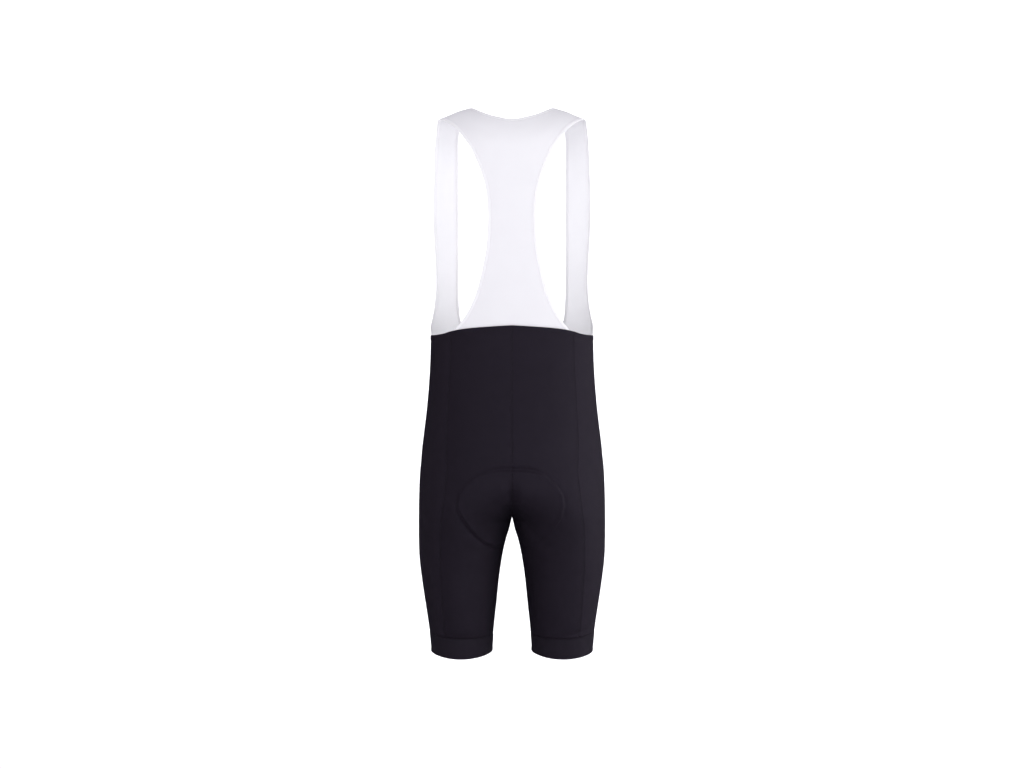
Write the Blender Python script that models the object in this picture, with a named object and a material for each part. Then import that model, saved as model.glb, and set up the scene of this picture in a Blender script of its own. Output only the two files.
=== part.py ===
"""Cycling bib shorts, hollow and filled out as when they are worn.

Metres, +Z up. The back of the garment faces -Y and the wearer's right is +X. The origin lies
between the two shoulder ridges, where the straps rest on the wearer. Every cut piece is a thin
wall of its own, parted from its neighbours by the gap of a seam.
"""

import math
from collections import namedtuple

import bmesh
import bpy
import numpy as np

# Cloth and seams
SHORTS_WALL = 0.0016
BIB_WALL = 0.0014
BAND_WALL = 0.0021
BINDING_WALL = 0.0020
BINDING_WIDTH = 0.0050
SEAM_GAP = 0.0003
BIB_FOOT_GAP = 0.0007
BAND_PROUD = 0.0003

# Heights, measured from the shoulder ridges
SPLIT_START = -0.596
CROTCH = -0.6815
BAND_SEAM = -0.8790
HEM = -0.9075
HEM_DIP_BEHIND = 0.0058
WAIST_FADE = 0.150

# Shoulders
SHOULDER_RISE = 0.085
SHOULDER_SEAM_DEG = 8.0
NECK_ACROSS = 0.0720
SHOULDER_ACROSS = 0.1268

# Seat and crotch
SEAM_ARC_POWER = 2.1
SPLIT_POWER = 1.35
BRIDGE_REACH = 0.030
BRIDGE_LIFT = 0.014
BESIDE_SEAM = 0.985

# Seat pad
PAD_THICK = 0.0070
PAD_RIM = 0.0022
PAD_GAP = 0.0023
PAD_CROWN_POWER = 4
PAD_COLUMN_POWER = 1.5
LEG_RADIUS = 0.080

# Section of the body that fills the garment. Below the crotch, inner is how far the inside leg
# stands from the centre plane.
Section = namedtuple("Section", "height outer inner behind before squareness")
BODY = (
    Section(0.030, 0.1500, 0.0, 0.0960, 0.0940, 2.20),
    Section(-0.060, 0.1550, 0.0, 0.1070, 0.1050, 2.20),
    Section(-0.120, 0.1570, 0.0, 0.1110, 0.1110, 2.20),
    Section(-0.180, 0.1550, 0.0, 0.1090, 0.1130, 2.20),
    Section(-0.240, 0.1490, 0.0, 0.1030, 0.1110, 2.20),
    Section(-0.300, 0.1420, 0.0, 0.0965, 0.1080, 2.20),
    Section(-0.340, 0.1393, 0.0, 0.0932, 0.1060, 2.20),
    Section(-0.374, 0.1380, 0.0, 0.0930, 0.1045, 2.20),
    Section(-0.415, 0.1386, 0.0, 0.0965, 0.1035, 2.20),
    Section(-0.457, 0.1410, 0.0, 0.1050, 0.1025, 2.20),
    Section(-0.499, 0.1446, 0.0, 0.1160, 0.1010, 2.20),
    Section(-0.539, 0.1496, 0.0, 0.1260, 0.0990, 2.18),
    Section(-0.580, 0.1545, 0.0, 0.1330, 0.0970, 2.15),
    Section(-0.620, 0.1570, 0.0, 0.1330, 0.0950, 2.12),
    Section(-0.660, 0.1580, 0.0, 0.1220, 0.0930, 2.06),
    Section(CROTCH, 0.1582, 0.0004, 0.1125, 0.0920, 2.02),
    Section(-0.690, 0.1582, 0.0021, 0.1085, 0.0912, 2.00),
    Section(-0.702, 0.1582, 0.0050, 0.1030, 0.0900, 2.00),
    Section(-0.716, 0.1582, 0.0095, 0.0980, 0.0890, 2.00),
    Section(-0.743, 0.1578, 0.0158, 0.0900, 0.0870, 2.00),
    Section(-0.784, 0.1532, 0.0220, 0.0810, 0.0830, 2.00),
    Section(-0.825, 0.1472, 0.0262, 0.0730, 0.0780, 2.00),
    Section(-0.865, 0.1408, 0.0306, 0.0640, 0.0710, 2.00),
    Section(BAND_SEAM, 0.1393, 0.0318, 0.0610, 0.0680, 2.00),
    Section(-0.920, 0.1355, 0.0345, 0.0550, 0.0620, 2.00),
)

# Top edge of the shorts. Around is -90 at the centre back, 0 at the side and 90 at the front.
WaistEdge = namedtuple("WaistEdge", "around height")
WAIST_EDGE = (
    WaistEdge(-90.0, -0.3597),
    WaistEdge(-57.0, -0.3650),
    WaistEdge(-44.0, -0.3688),
    WaistEdge(-35.0, -0.3724),
    WaistEdge(-22.0, -0.3738),
    WaistEdge(0.0, -0.3735),
    WaistEdge(30.0, -0.3790),
    WaistEdge(60.0, -0.3930),
    WaistEdge(90.0, -0.4020),
)

# Seams on both sides of the side panel, as angles round the section.
SideSeam = namedtuple("SideSeam", "height rear fore")
SIDE_SEAMS = (
    SideSeam(-0.360, -44.5, 34.0),
    SideSeam(-0.460, -44.5, 36.0),
    SideSeam(-0.550, -46.0, 40.0),
    SideSeam(-0.610, -50.0, 45.0),
    SideSeam(-0.6815, -61.0, 52.0),
    SideSeam(-0.760, -63.0, 56.0),
    SideSeam(-0.900, -60.0, 58.0),
)

# Line of the shoulder from the neck outwards.
Ridge = namedtuple("Ridge", "across height")
RIDGE = (
    Ridge(0.000, 0.0160),
    Ridge(0.045, 0.0150),
    Ridge(0.0714, 0.0114),
    Ridge(0.090, 0.0067),
    Ridge(0.107, 0.0000),
    Ridge(0.1207, -0.0056),
    Ridge(0.1275, -0.0098),
    Ridge(0.150, -0.0260),
)

# Back neckline, by distance from the centre plane. It meets the ridge at the neck's corner.
Neckline = namedtuple("Neckline", "across height")
NECKLINE = (
    Neckline(-0.0270, -0.0144),
    Neckline(0.0000, -0.0203),
    Neckline(0.0270, -0.0144),
    Neckline(0.0480, -0.0057),
    Neckline(NECK_ACROSS, 0.0113),
)
NECK_POINTS = (0.0, 0.012, 0.026, 0.040, 0.053, 0.063, 0.069, NECK_ACROSS)

# Half width of the bib back: over the shoulder by the turn from its ridge, then by height.
YokeEdge = namedtuple("YokeEdge", "turn half_width")
YOKE_EDGE = (
    YokeEdge(-10.0, 0.1270),
    YokeEdge(0.0, SHOULDER_ACROSS),
    YokeEdge(22.0, 0.1180),
    YokeEdge(44.0, 0.1035),
    YokeEdge(59.0, 0.0910),
    YokeEdge(73.0, 0.0798),
    YokeEdge(90.0, 0.0655),
)
BibEdge = namedtuple("BibEdge", "height half_width")
BIB_EDGE = (
    BibEdge(-0.0730, 0.0655),
    BibEdge(-0.1050, 0.0521),
    BibEdge(-0.1400, 0.0420),
    BibEdge(-0.1800, 0.0388),
    BibEdge(-0.2240, 0.0407),
    BibEdge(-0.2630, 0.0473),
    BibEdge(-0.3020, 0.0572),
    BibEdge(-0.3300, 0.0688),
    BibEdge(-0.3500, 0.0810),
    BibEdge(-0.3690, 0.0970),
)

# Edges of a front strap, as distances from the centre plane.
StrapTurn = namedtuple("StrapTurn", "turn inner outer")
STRAP_TURN = (
    StrapTurn(0.0, NECK_ACROSS, SHOULDER_ACROSS),
    StrapTurn(20.0, 0.0810, 0.1285),
    StrapTurn(38.0, 0.0898, 0.1312),
    StrapTurn(56.0, 0.0938, 0.1335),
    StrapTurn(90.0, 0.0943, 0.1362),
)
StrapEdge = namedtuple("StrapEdge", "height inner outer")
STRAP_EDGE = (
    StrapEdge(-0.0750, 0.0944, 0.1358),
    StrapEdge(-0.1000, 0.0946, 0.1364),
    StrapEdge(-0.1300, 0.0947, 0.1373),
    StrapEdge(-0.1700, 0.0947, 0.1369),
    StrapEdge(-0.2100, 0.0947, 0.1350),
    StrapEdge(-0.2600, 0.0947, 0.1320),
    StrapEdge(-0.2850, 0.0946, 0.1314),
    StrapEdge(-0.3150, 0.0940, 0.1330),
    StrapEdge(-0.3400, 0.0918, 0.1362),
    StrapEdge(-0.3600, 0.0850, 0.1384),
    StrapEdge(-0.3750, 0.0760, 0.1390),
    StrapEdge(-0.3990, 0.0520, 0.1390),
)
STRAP_FOOT = (70.0, 1.5)

# Outline of the seat pad, behind and in front of the crotch: how far round the leg from the
# centre seam or the inside leg it reaches.
PadOutline = namedtuple("PadOutline", "height reach")
PAD_BEHIND = (
    PadOutline(-0.5935, 0.0),
    PadOutline(-0.5945, 17.0),
    PadOutline(-0.6010, 25.0),
    PadOutline(-0.6170, 33.0),
    PadOutline(-0.6350, 44.0),
    PadOutline(-0.6510, 53.0),
    PadOutline(-0.6720, 68.0),
    PadOutline(-0.6940, 83.0),
    PadOutline(-0.7050, 75.0),
    PadOutline(-0.7200, 60.0),
    PadOutline(-0.7330, 42.0),
    PadOutline(-0.7430, 0.0),
)
PAD_BEFORE = (
    PadOutline(-0.5930, 0.0),
    PadOutline(-0.5945, 8.0),
    PadOutline(-0.6050, 14.0),
    PadOutline(-0.6250, 24.0),
    PadOutline(-0.6500, 36.0),
    PadOutline(-0.6720, 50.0),
    PadOutline(-0.6940, 60.0),
    PadOutline(-0.7050, 58.0),
    PadOutline(-0.7200, 50.0),
    PadOutline(-0.7330, 36.0),
    PadOutline(-0.7430, 0.0),
)

# Smoothing of the shape away from the centre seams and the inside legs
RELAX_PASSES = 5
RELAX_REACH_DEG = 55.0

# How finely the walls are divided
SIDE_ROW_STEP = 0.0165
LEG_ROW_STEP = 0.0180
LEG_ROW_POWER = 1.2
CROTCH_ROWS = 8
PANEL_COLUMNS = {"back": 12, "side": 6, "front": 11}
BAND_COLUMNS = 30
BAND_ROWS = 2
SHOULDER_COLUMNS = 2
BIB_ROWS = 18
YOKE_ROWS = 7
STRAP_COLUMNS = 6
STRAP_ROWS = 18
STRAP_TURN_ROWS = 6
PAD_ROWS = 10
PAD_COLUMNS = 8
SHARP_DEG = 50.0
SMALL_TURN_DEG = 1.0
SMALL_STEP = 0.001

# Least sine of the angle between a row and an edge at which the trimming follows the row
LEAST_CROSSING = 0.38


def smooth(table, key, column):
    """Value of a column at key, on a curve through the table's rows that never overshoots."""
    rows = sorted(table)
    keys = [row[0] for row in rows]
    values = [getattr(row, column) for row in rows]
    key = min(max(key, keys[0]), keys[-1])
    steps = [b - a for a, b in zip(keys, keys[1:])]
    slopes = [(b - a) / step for a, b, step in zip(values, values[1:], steps)]
    tangents = [slopes[0]]
    for before, after in zip(slopes, slopes[1:]):
        level = before * after <= 0
        tangents.append(0.0 if level else 2 * before * after / (before + after))
    tangents.append(slopes[-1])
    place = min(max(sum(key >= k for k in keys) - 1, 0), len(steps) - 1)
    step = steps[place]
    t = (key - keys[place]) / step
    start = (1 + 2 * t) * (1 - t) ** 2 * values[place] + t * (1 - t) ** 2 * step * tangents[place]
    end = t * t * (3 - 2 * t) * values[place + 1] + t * t * (t - 1) * step * tangents[place + 1]
    return start + end


def mix(start, end, share):
    return start + (end - start) * share


def power(value, exponent):
    """A power that keeps the sign, as the sides of a superellipse need."""
    return math.copysign(abs(value) ** exponent, value)


def unit(vectors):
    lengths = np.linalg.norm(vectors, axis=-1, keepdims=True)
    return vectors / np.maximum(lengths, 1e-12)


# The body that the garment encloses


def legs_parted(height):
    """How far the section has parted into two legs: 0 on the hips, 1 from the crotch down."""
    if height >= SPLIT_START:
        return 0.0
    if height <= CROTCH:
        return 1.0
    down = ((SPLIT_START - height) / (SPLIT_START - CROTCH)) ** SPLIT_POWER
    seam_depth = (1 - down**SEAM_ARC_POWER) ** (1 / SEAM_ARC_POWER)
    return math.sqrt(1 - seam_depth**2)


def half_section(height):
    """The right half of the section at a height, as a dictionary of its sizes."""
    parted = legs_parted(height)
    outer = smooth(BODY, height, "outer")
    squareness = smooth(BODY, height, "squareness")
    if parted < 1:
        radius = outer / (1 + parted)
        centre = radius * parted
        end = math.acos(-(parted ** (squareness / 2)))
    else:
        inner = smooth(BODY, height, "inner")
        radius = (outer - inner) / 2
        centre = (outer + inner) / 2
        end = math.pi
    return {
        "height": height,
        "parted": parted,
        "centre": centre,
        "radius": radius,
        "behind": smooth(BODY, height, "behind"),
        "before": smooth(BODY, height, "before"),
        "power": 2 / squareness,
        "end": end,
    }


def bare_point(section, angle):
    """A point on the two half ellipses of a section, with the angle in radians from the side."""
    depth = section["before"] if math.sin(angle) > 0 else section["behind"]
    across = section["centre"] + section["radius"] * power(math.cos(angle), section["power"])
    return across, depth * power(math.sin(angle), section["power"])


def body_point(section, angle):
    """The same point with the cleft above the crotch bridged, as stretched cloth bridges it."""
    across, depth = bare_point(section, angle)
    if 0 < section["parted"] < 1 and math.cos(angle) < 0:
        end = math.copysign(section["end"], angle)
        _, seam = bare_point(section, end)
        near_across, near = bare_point(section, end * BESIDE_SEAM)
        slope = abs(abs(near) - abs(seam)) / max(near_across, 1e-6)
        lift = BRIDGE_LIFT * (1 - section["parted"] ** 2)
        reach = min(BRIDGE_REACH, 2 * lift / max(slope, 1e-6))
        if across < reach:
            raised = slope / (2 * reach) * (reach - across) ** 2
            depth = math.copysign(abs(depth) + raised, depth)
    return np.array([across, depth, section["height"]])


def body_at(height, angle_deg):
    return body_point(half_section(height), math.radians(angle_deg))


def angle_at(height, across):
    """The angle in degrees at which the section above the crotch is this wide."""
    section = half_section(height)
    share = min(across / section["radius"], 1.0)
    return math.degrees(math.acos(share ** (1 / section["power"])))


def waist_edge(angle_deg):
    return smooth(WAIST_EDGE, angle_deg, "height")


# Walls from grids of points


def differences(points):
    """Directions along the first axis, from both neighbours and, at the ends, from the next two."""
    steps = np.empty_like(points)
    steps[1:-1] = points[2:] - points[:-2]
    steps[0] = 4 * points[1] - 3 * points[0] - points[2]
    steps[-1] = 3 * points[-1] - 4 * points[-2] + points[-3]
    return steps


def grid_normals(grid, closed=False):
    """Outward directions of a grid whose columns run round the garment and rows run down it."""
    if closed:
        along = np.roll(grid, -1, axis=1) - np.roll(grid, 1, axis=1)
    else:
        along = differences(grid.swapaxes(0, 1)).swapaxes(0, 1)
    return unit(np.cross(differences(grid), along))


def material(name, colour, roughness):
    shader = bpy.data.materials.new(name)
    shader.use_nodes = True
    shader.diffuse_color = (*colour, 1.0)
    principled = shader.node_tree.nodes["Principled BSDF"]
    principled.inputs["Base Color"].default_value = (*colour, 1.0)
    principled.inputs["Roughness"].default_value = roughness
    principled.inputs["Metallic"].default_value = 0.0
    return shader


def wall(name, outer, inner, shader, closed=False):
    """A closed thin wall between two grids of points; closed joins the last column to the first."""
    rows, columns = outer.shape[:2]
    mesh = bmesh.new()
    skins = [
        [[mesh.verts.new(point) for point in row] for row in skin.tolist()]
        for skin in (outer, inner)
    ]
    spans = columns if closed else columns - 1
    for row in range(rows - 1):
        for column in range(spans):
            after = (column + 1) % columns
            corners = ((row, column), (row + 1, column), (row + 1, after), (row, after))
            mesh.faces.new([skins[0][r][c] for r, c in corners])
            mesh.faces.new([skins[1][r][c] for r, c in reversed(corners)])
    rim = [((0, c), (0, (c + 1) % columns)) for c in range(spans)]
    rim += [((rows - 1, (c + 1) % columns), (rows - 1, c)) for c in range(spans)]
    if not closed:
        rim += [((r + 1, 0), (r, 0)) for r in range(rows - 1)]
        rim += [((r, columns - 1), (r + 1, columns - 1)) for r in range(rows - 1)]
    for (r0, c0), (r1, c1) in rim:
        mesh.faces.new([skins[0][r0][c0], skins[0][r1][c1], skins[1][r1][c1], skins[1][r0][c0]])
    bmesh.ops.recalc_face_normals(mesh, faces=mesh.faces)
    data = bpy.data.meshes.new(name)
    mesh.to_mesh(data)
    mesh.free()
    data.shade_smooth()
    data.set_sharp_from_angle(angle=math.radians(SHARP_DEG))
    data.materials.append(shader)
    part = bpy.data.objects.new(name, data)
    bpy.context.collection.objects.link(part)
    return part


def mirrored(grid):
    """The same piece on the wearer's left, with its columns still running from back to front."""
    return grid * np.array([-1.0, 1.0, 1.0])


# Shorts


def row_heights():
    """Heights of the rows at the side, from the waist to the leg band's seam."""
    top = waist_edge(0.0)
    above = math.ceil((top - SPLIT_START) / SIDE_ROW_STEP)
    heights = [mix(top, SPLIT_START, k / above) for k in range(above)]
    for k in range(CROTCH_ROWS + 1):
        down = math.sin(math.pi / 2 * k / CROTCH_ROWS) ** (2 / SEAM_ARC_POWER)
        heights.append(mix(SPLIT_START, CROTCH, down ** (1 / SPLIT_POWER)))
    below = math.ceil((CROTCH - BAND_SEAM) / LEG_ROW_STEP)
    for k in range(below):
        share = (k + 1) / below
        heights.append(mix(CROTCH, BAND_SEAM + SEAM_GAP / 2, share**LEG_ROW_POWER))
    return heights


def column_angles(height):
    """Angles of the right half's columns at a height, grouped by panel, with the seams left open."""
    section = half_section(height)
    rear = math.radians(smooth(SIDE_SEAMS, height, "rear"))
    fore = math.radians(smooth(SIDE_SEAMS, height, "fore"))
    slit = SEAM_GAP / 2 / section["radius"]
    inseam = SEAM_GAP / 2 / section["behind"] if section["parted"] == 1 else 0.0
    spans = {
        "back": (inseam - section["end"], rear - slit),
        "side": (rear + slit, fore - slit),
        "front": (fore + slit, section["end"] - inseam),
    }
    angles = []
    for panel, (start, end) in spans.items():
        count = PANEL_COLUMNS[panel]
        angles += [mix(start, end, c / count) for c in range(count + 1)]
    return angles


def relaxed(grid, angles):
    """The grid with its rows drawn towards their neighbours, less so near the centre seams."""
    reach = math.radians(RELAX_REACH_DEG)
    firm = [[min(abs(a - row[0]), abs(a - row[-1])) / reach for a in row] for row in angles]
    loose = np.minimum(np.array(firm), 1.0)[1:-1, :, None] ** 2
    for _ in range(RELAX_PASSES):
        between = (grid[:-2] + grid[2:]) / 2 - grid[1:-1]
        grid[1:-1] += between * loose / 2
    return grid


def shorts_half():
    """The shorts' right half, all three panels side by side, as grids of points and directions."""
    heights = row_heights()
    angles = [column_angles(height) for height in heights]
    grid = []
    for height, row_angles in zip(heights, angles):
        fade = max(0.0, 1 - (heights[0] - height) / WAIST_FADE) ** 2
        row = []
        for angle in row_angles:
            edge = waist_edge(math.degrees(angle)) - heights[0] if fade else 0.0
            point = body_point(half_section(height + edge * fade), angle)
            point[0] = max(point[0], SEAM_GAP / 2)
            row.append(point)
        grid.append(row)
    grid = relaxed(np.array(grid), angles)
    normals = grid_normals(grid)
    crotch_row = heights.index(min(heights, key=lambda h: abs(h - CROTCH)))
    for end in (0, -1):
        normals[:crotch_row, end, 0] = 0.0
        normals[crotch_row, end] = (0.0, 0.0, -1.0)
        normals[crotch_row + 1 :, end] = (-1.0, 0.0, 0.0)
    seam = -1
    for count in list(PANEL_COLUMNS.values())[:-1]:
        seam += count + 1
        shared = normals[:, seam] + normals[:, seam + 1]
        normals[:, seam] = normals[:, seam + 1] = shared
    normals = unit(normals)
    inner = grid - normals * SHORTS_WALL
    inner[..., 0] = np.maximum(inner[..., 0], SEAM_GAP / 2)
    return {"heights": heights, "angles": angles, "outer": grid, "inner": inner, "out": normals}


def make_shorts(half, shader):
    outer, inner = half["outer"], half["inner"]
    first = 0
    for panel, count in PANEL_COLUMNS.items():
        columns = slice(first, first + count + 1)
        right = outer[:, columns], inner[:, columns]
        wall(f"shorts_{panel}_right", *right, shader)
        wall(f"shorts_{panel}_left", mirrored(right[0]), mirrored(right[1]), shader)
        first += count + 1


def band_grid():
    """Points round the right leg from the band's seam to the hem, which dips behind."""
    rows = []
    for k in range(BAND_ROWS + 1):
        row = []
        for column in range(BAND_COLUMNS):
            angle = 2 * math.pi * column / BAND_COLUMNS - math.pi
            dip = HEM_DIP_BEHIND * max(0.0, -math.sin(angle)) ** 2
            height = mix(BAND_SEAM - SEAM_GAP / 2, HEM - dip, k / BAND_ROWS)
            row.append(body_point(half_section(height), angle))
        rows.append(row)
    return np.array(rows)


def make_bands(shader):
    grid = band_grid()
    normals = grid_normals(grid, closed=True)
    outer = grid + normals * BAND_PROUD
    inner = outer - normals * BAND_WALL
    wall("leg_band_right", outer, inner, shader, closed=True)
    wall("leg_band_left", mirrored(outer), mirrored(inner), shader, closed=True)


# Seat pad


def inside_of_shorts(half, height, reach, side):
    """A point on the inner face of the right half, and the way into the garment there.

    Reach is the angle from the centre seam or the inside leg, and side is -1 behind.
    """
    row = float(np.interp(-height, [-h for h in half["heights"]], range(len(half["heights"]))))
    above = min(int(row), len(half["heights"]) - 2)
    found = []
    for index in (above, above + 1):
        angles = half["angles"][index]
        end = angles[0] if side < 0 else angles[-1]
        column = float(np.interp(end - side * reach, angles, range(len(angles))))
        left = min(int(column), len(angles) - 2)
        found.append(
            [
                mix(half[name][index, left], half[name][index, left + 1], column - left)
                for name in ("inner", "out")
            ]
        )
    point, outward = (mix(a, b, row - above) for a, b in zip(*found))
    return point, -outward


def pad_half(half, outline, side):
    """Lines across one half of the pad, from the centre seam out to its outline."""
    lengths = [0.0]
    for a, b in zip(outline, outline[1:]):
        round_leg = math.radians(a.reach - b.reach) * LEG_RADIUS
        lengths.append(lengths[-1] + math.hypot(a.height - b.height, round_leg))
    heights = [row.height for row in outline]
    reaches = [row.reach for row in outline]
    lines = []
    for k in range(PAD_ROWS + 1):
        share = k / PAD_ROWS
        seam = mix(heights[0], CROTCH, math.sin(share * math.pi / 2))
        edge_height = float(np.interp(share * lengths[-1], lengths, heights))
        edge_reach = math.radians(float(np.interp(share * lengths[-1], lengths, reaches)))
        outs = [(c / PAD_COLUMNS) ** PAD_COLUMN_POWER for c in range(PAD_COLUMNS + 1)]
        lines.append(
            [inside_of_shorts(half, mix(seam, edge_height, o), edge_reach * o, side) for o in outs]
        )
    return np.array(lines)


def make_pad(half, shader):
    behind = pad_half(half, PAD_BEHIND, -1)
    before = pad_half(half, PAD_BEFORE, 1)
    right = np.concatenate([behind, before[-2::-1]])
    grid, inward = (
        np.concatenate([mirrored(right[:, :0:-1, k]), right[:, :, k]], axis=1) for k in (0, 1)
    )
    inward[:, PAD_COLUMNS, 0] = 0.0
    inward[PAD_ROWS, PAD_COLUMNS] = (0.0, 0.0, 1.0)
    inward[PAD_ROWS, PAD_COLUMNS + 1 :] = (1.0, 0.0, 0.0)
    inward[PAD_ROWS, :PAD_COLUMNS] = (-1.0, 0.0, 0.0)
    inward = unit(inward)
    rows, columns = grid.shape[:2]
    across = np.abs(np.linspace(-1, 1, columns))[None, :]
    along = np.abs(np.linspace(-1, 1, rows))[:, None]
    crown = np.sqrt((1 - across**PAD_CROWN_POWER) * (1 - along**PAD_CROWN_POWER))
    thick = PAD_RIM + (PAD_THICK - PAD_RIM) * crown
    face = grid + inward * PAD_GAP
    wall("seat_pad", face, face + inward * thick[..., None], shader)


# Bib


def shoulder_point(across, turn_deg, before):
    """A point over the shoulder: turned about its ridge, forwards or backwards."""
    turn = math.radians(turn_deg)
    height = smooth(RIDGE, across, "height") - SHOULDER_RISE * (1 - math.cos(turn))
    section = half_section(height)
    angle = math.radians(angle_at(height, across))
    point = body_point(section, angle if before else -angle)
    point[0] = across
    point[1] *= math.sin(turn)
    return point


def neck_half():
    """The neckline from the centre back to the shoulder seam, as rows of edge, inward direction
    and outward direction."""
    turns = []
    for across in NECK_POINTS:
        below_ridge = smooth(RIDGE, across, "height") - smooth(NECKLINE, across, "height")
        turns.append(math.degrees(math.acos(1 - max(below_ridge, 0.0) / SHOULDER_RISE)))
    seam = smooth(STRAP_TURN, SHOULDER_SEAM_DEG, "inner")
    places = list(zip((*NECK_POINTS, seam), (*turns, -SHOULDER_SEAM_DEG)))
    edge = np.array([shoulder_point(a, abs(t), before=t < 0) for a, t in places])
    whole = np.concatenate([mirrored(edge)[:0:-1], edge])
    along = unit(differences(whole))[len(edge) - 1 :]
    below = [(a, t + SMALL_TURN_DEG) for a, t in places]
    aside = [(a + SMALL_STEP, t) for a, t in places]
    down, across = (
        np.array([shoulder_point(a, abs(t), before=t < 0) for a, t in near]) - edge
        for near in (below, aside)
    )
    out = unit(np.cross(down, across))
    inward = unit(np.cross(along, out))
    on_seam = shoulder_point(seam + BINDING_WIDTH, SHOULDER_SEAM_DEG, before=True)
    inward[-1] = unit(on_seam - edge[-1])
    return edge, inward, out


def bib_column(top, share):
    """Points down one column of the bib back, from its top point to the waist."""
    fall = smooth(RIDGE, float(top[0]), "height") - float(top[2])
    top_turn = math.degrees(math.acos(1 - max(fall, 0.0) / SHOULDER_RISE))
    top_turn = math.copysign(top_turn, -float(top[1]))
    points = [top]
    for k in range(1, YOKE_ROWS + 1):
        down = k / YOKE_ROWS
        across = share * smooth(YOKE_EDGE, mix(-SHOULDER_SEAM_DEG, 90.0, down), "half_width")
        turn = mix(top_turn, 90.0, down)
        points.append(shoulder_point(across, abs(turn), before=turn < 0))
    waist_across = share * BIB_EDGE[-1].half_width
    waist_angle = angle_at(BIB_EDGE[-1].height, waist_across)
    foot = waist_edge(-waist_angle) + BIB_FOOT_GAP
    edge_angle = angle_at(BIB_EDGE[-1].height, BIB_EDGE[-1].half_width)
    edge_foot = waist_edge(-edge_angle) + BIB_FOOT_GAP
    edge_top = smooth(RIDGE, YOKE_EDGE[-1].half_width, "height") - SHOULDER_RISE
    for k in range(1, BIB_ROWS + 1):
        down = k / BIB_ROWS
        edge_height = mix(edge_top, edge_foot, down)
        across = share * smooth(BIB_EDGE, edge_height, "half_width")
        height = mix(float(points[YOKE_ROWS][2]), foot, down)
        points.append(body_at(height, -angle_at(height, across)))
    return points


def strap_grid():
    """Points of the right strap: columns from its inner to its outer edge, rows downwards."""
    shares = [c / STRAP_COLUMNS for c in range(STRAP_COLUMNS + 1)]
    rows = []
    for k in range(STRAP_TURN_ROWS + 1):
        turn = mix(SHOULDER_SEAM_DEG, 90.0, k / STRAP_TURN_ROWS)
        inner = smooth(STRAP_TURN, turn, "inner")
        outer = smooth(STRAP_TURN, turn, "outer")
        rows.append([shoulder_point(mix(inner, outer, s), turn, before=True) for s in shares])
    top = [float(point[2]) for point in rows[-1]]
    foot_angles = [mix(STRAP_FOOT[0], STRAP_FOOT[1], s) for s in shares]
    foot = [waist_edge(angle) + BIB_FOOT_GAP for angle in foot_angles]
    for k in range(1, STRAP_ROWS + 1):
        down = k / STRAP_ROWS
        heights = [mix(a, b, down) for a, b in zip(top, foot)]
        inner = angle_at(heights[0], smooth(STRAP_EDGE, heights[0], "inner"))
        outer = angle_at(heights[-1], smooth(STRAP_EDGE, heights[-1], "outer"))
        inner = foot_angles[0] if k == STRAP_ROWS else min(inner, foot_angles[0])
        outer = foot_angles[-1] if k == STRAP_ROWS else max(outer, foot_angles[-1])
        rows.append([body_at(h, mix(inner, outer, s)) for h, s in zip(heights, shares)])
    return np.array(rows)


def trimmed(edge, inside, width):
    """Points that lie width in from an edge: along their own row where it crosses the edge well
    enough, and otherwise square to the edge."""
    along = unit(differences(edge))
    inward = unit(inside - edge)
    square = inward - (inward * along).sum(axis=-1, keepdims=True) * along
    crossing = np.linalg.norm(square, axis=-1, keepdims=True)
    rowwise = inward / np.maximum(crossing, LEAST_CROSSING)
    return edge + np.where(crossing > LEAST_CROSSING, rowwise, unit(square)) * width


def binding(name, edge, inside, normals, wall_thickness, shader):
    """A narrow elastic along an edge: a flat strip of its own, thicker than the cloth beside it."""
    inner_edge = trimmed(edge, inside, BINDING_WIDTH)
    proud = (BINDING_WALL - wall_thickness) / 2
    strip = np.stack([edge, inner_edge], axis=1)
    out = np.stack([normals, normals], axis=1)
    outer = strip + out * proud
    wall(name, outer, outer - out * BINDING_WALL, shader)


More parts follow.
